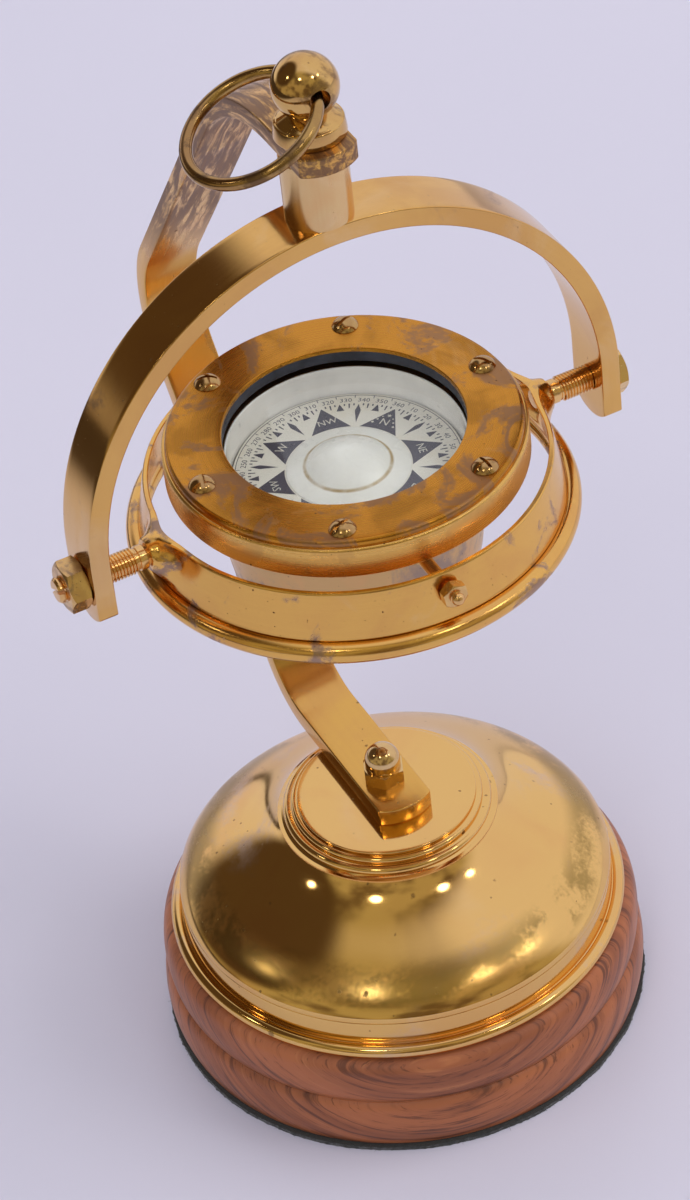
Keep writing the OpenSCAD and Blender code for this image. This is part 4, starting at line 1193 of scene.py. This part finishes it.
def card_point(k):
    """The k-th of 128 points round the card: cardinal and half-cardinal points are the largest."""
    if k % 16 == 0:
        return curved_base(6.0, 18.6) + [(0.15, 28.35), (0.0, 28.5), (-0.15, 28.35)]
    if k % 8 == 0:
        return [(0.0, 20.4), (0.12, 21.2), (0.85, 25.7), (0.78, 26.3), (0.0, 28.9), (-0.78, 26.3),
                (-0.85, 25.7), (-0.12, 21.2)]
    if k % 4 == 0:
        return curved_base(1.15, 26.1) + [(0.12, 29.0), (-0.12, 29.0)]
    if k % 2 == 0:
        return [(-0.17, 27.1), (0.17, 27.1), (0.24, 29.2), (-0.24, 29.2)]
    return [(-0.22, 28.3), (0.22, 28.3), (0.22, 29.2), (-0.22, 29.2)]


def dark_print(z):
    """The circle, the ticks between the numbers, the points and the numbers."""
    dark = arc_band(32.95, 33.15, 240)
    tick = [(-0.10, 31.75), (0.10, 31.75), (0.10, 33.0), (-0.10, 33.0)]
    dark += [on_card(10 * k + 5, tick) for k in range(36)]
    dark += [on_card(360 * k / 128, card_point(k)) for k in range(128)]
    numbers = [letters(str(10 * k), 1.75, 30.75, 10 * k, z, 1.02) for k in range(1, 37)]
    return [flat_part(dark, z)] + numbers


def light_print(z):
    """The points' letters, and a star with leaves on the north point."""
    light = []
    for k, name in enumerate(("N", "NE", "E", "SE", "S", "SW", "W", "NW")):
        light.append(letters(name, 2.5 if len(name) == 2 else 2.9, 22.0, 45 * k, z, 0.95))
    star = []
    for k in range(12):
        r = 0.85 if k % 2 == 0 else 0.32
        star.append((r * sin(pi * k / 6), 25.2 + r * cos(pi * k / 6)))
    sprays = [on_card(0, star)]
    for s in (-1, 1):
        for cx, cy, q in ((3.4, 20.9, 0.42), (2.6, 22.6, 0.34), (1.7, 24.2, 0.26)):
            leaf = [(s * cx + q * cos(pi * k / 5), cy + q * sin(pi * k / 5)) for k in range(10)]
            sprays.append(on_card(0, leaf))
    return light + [flat_part(sprays, z)]


def keep_cad():
    """CAD nodes whose shape is right get these finishes."""
    kept = ((BOWL_MAT, ("bowl_shell", "bowl_flange")), (NUT_MAT, ("trunnion_bushes",)),
            (SCREW_MAT, ("base_stud", "pivot_bolt", "filler_plug")), (JEWEL_MAT, ("jewel_cup",)),
            (STEEL_MAT, ("base_washer", "base_nut", "pivot_post", "card_magnets")),
            (LEAD_MAT, ("ballast",)))
    for mat, names in kept:
        for n in names:
            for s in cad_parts[n].material_slots:
                s.material = mat


make_felt()
make_wood()
make_cover()
make_arm()
make_dome_nut()
make_finial()
make_lifting_ring()
make_yoke()
make_boss()
make_large_pins()
make_gimbal_ring()
make_small_pins()
make_bezel()
make_window()
make_card()
keep_cad()


# Room, light, camera
BACKDROP = (0.66, 0.64, 0.76)


def add_floor():
    """A paper sheet. In the metal it ends at the left and the back, with a dark room past it."""
    half = 3.0
    me = bpy.data.meshes.new("floor")
    corners = [(-half, -half, 0), (half, -half, 0), (half, half, 0), (-half, half, 0)]
    me.from_pydata(corners, [], [(0, 1, 2, 3)])
    obj = bpy.data.objects.new("floor", me)
    bpy.context.scene.collection.objects.link(obj)
    t = Tree("floor_paper")
    n = t.noise(t.pos, 0.004, 2, 0.5, 0.0, 1.0)
    paper = t.mix(n, (0.640, 0.622, 0.735), (0.665, 0.645, 0.760))
    x, y, z = t.split(t.pos)
    past = t.ramp(t.sub(t.mul(y, 0.7), t.mul(x, 0.7)), 500.0, 900.0)
    paper = t.mix(t.mul(past, t.path("Is Glossy Ray")), paper, (0.07, 0.05, 0.035))
    t.principled(paper, 0.85, None, Specular_IOR_Level=0.1)
    obj.data.materials.append(t.mat)


def add_world():
    """A pale backdrop for the camera, a plain level of soft light, and a room for the metal: pale
    behind the object, dark on the camera's side and at the left, with four lamps."""
    world = bpy.data.worlds.new("studio")
    bpy.context.scene.world = world
    world.use_nodes = True
    w = Nodes(world.node_tree, "OutputWorld")
    direction = w.coords["Generated"]

    def toward(aim, lo, hi):
        return w.ramp(w.dot(direction, Vector(aim).normalized()), lo, hi)

    patchy = w.ramp(w.noise(direction, 2.2), 0.40, 0.60)
    room = w.mix(patchy, (0.16, 0.12, 0.075), (0.46, 0.41, 0.26))
    seen = w.mix(toward((0.62, 0.70, 0.35), 0.0, 0.32), room, (0.80, 0.78, 0.88))
    seen = w.mix(toward((-0.62, 0.50, 0.60), 0.76, 0.88), seen, (0.09, 0.06, 0.035))
    for aim, edge in (((-0.43, -0.40, 0.81), 0.9984), ((0.252, -0.585, 0.771), 0.9986),
                      ((0.558, -0.475, 0.68), 0.9992), ((-0.75, 0.22, 0.62), 0.9994)):
        seen = w.mix(toward(aim, edge - 0.0008, edge), seen, (9.0, 8.6, 7.8))
    seen = w.mix(w.path("Is Camera Ray"), seen, BACKDROP)
    final = w.mix(w.path("Is Diffuse Ray"), seen, (0.60, 0.60, 0.64))
    backdrop = w.node("Background", {"Color": final, "Strength": 1.0})
    w.put(w.out.inputs["Surface"], backdrop.outputs[0])


def area(name, where, size, power, color):
    """A soft lamp aimed at the object, which the camera and the metal don't see."""
    light = bpy.data.lights.new(name, "AREA")
    light.shape = "RECTANGLE"
    light.size, light.size_y = size
    light.energy = power
    light.color = color
    obj = bpy.data.objects.new(name, light)
    bpy.context.scene.collection.objects.link(obj)
    obj.location = where
    aim = Vector((0, 0, 0.15)) - Vector(where)
    obj.rotation_euler = aim.to_track_quat("-Z", "Y").to_euler()
    obj.visible_camera = False
    obj.visible_glossy = False


def add_camera():
    cam = bpy.data.cameras.new("camera")
    cam.lens = 126.9
    cam.sensor_width = 36.0
    cam.sensor_fit = "AUTO"
    cam.clip_start = 0.05
    cam.clip_end = 20.0
    obj = bpy.data.objects.new("camera", cam)
    bpy.context.scene.collection.objects.link(obj)
    right = Vector((0.883119, -0.460588, -0.089223))
    up = Vector((0.36448, 0.553825, 0.74862))
    back = Vector((-0.295391, -0.69364, 0.656969))
    m = Matrix((right, up, back)).transposed().to_4x4()
    m.translation = Vector((-0.37527, -0.86691, 0.98291))
    obj.matrix_world = m
    bpy.context.scene.camera = obj


add_floor()
add_world()
area("key", (0.9, -0.35, 1.3), (0.9, 0.9), 7.5, (1.0, 0.98, 0.95))
area("fill", (-1.0, -0.9, 1.2), (0.8, 0.8), 3.0, (0.96, 0.97, 1.0))
area("back", (0.3, 1.3, 1.1), (1.2, 0.8), 4.0, (1.0, 0.99, 1.0))
add_camera()

scene = bpy.context.scene
scene.view_settings.view_transform = "Standard"
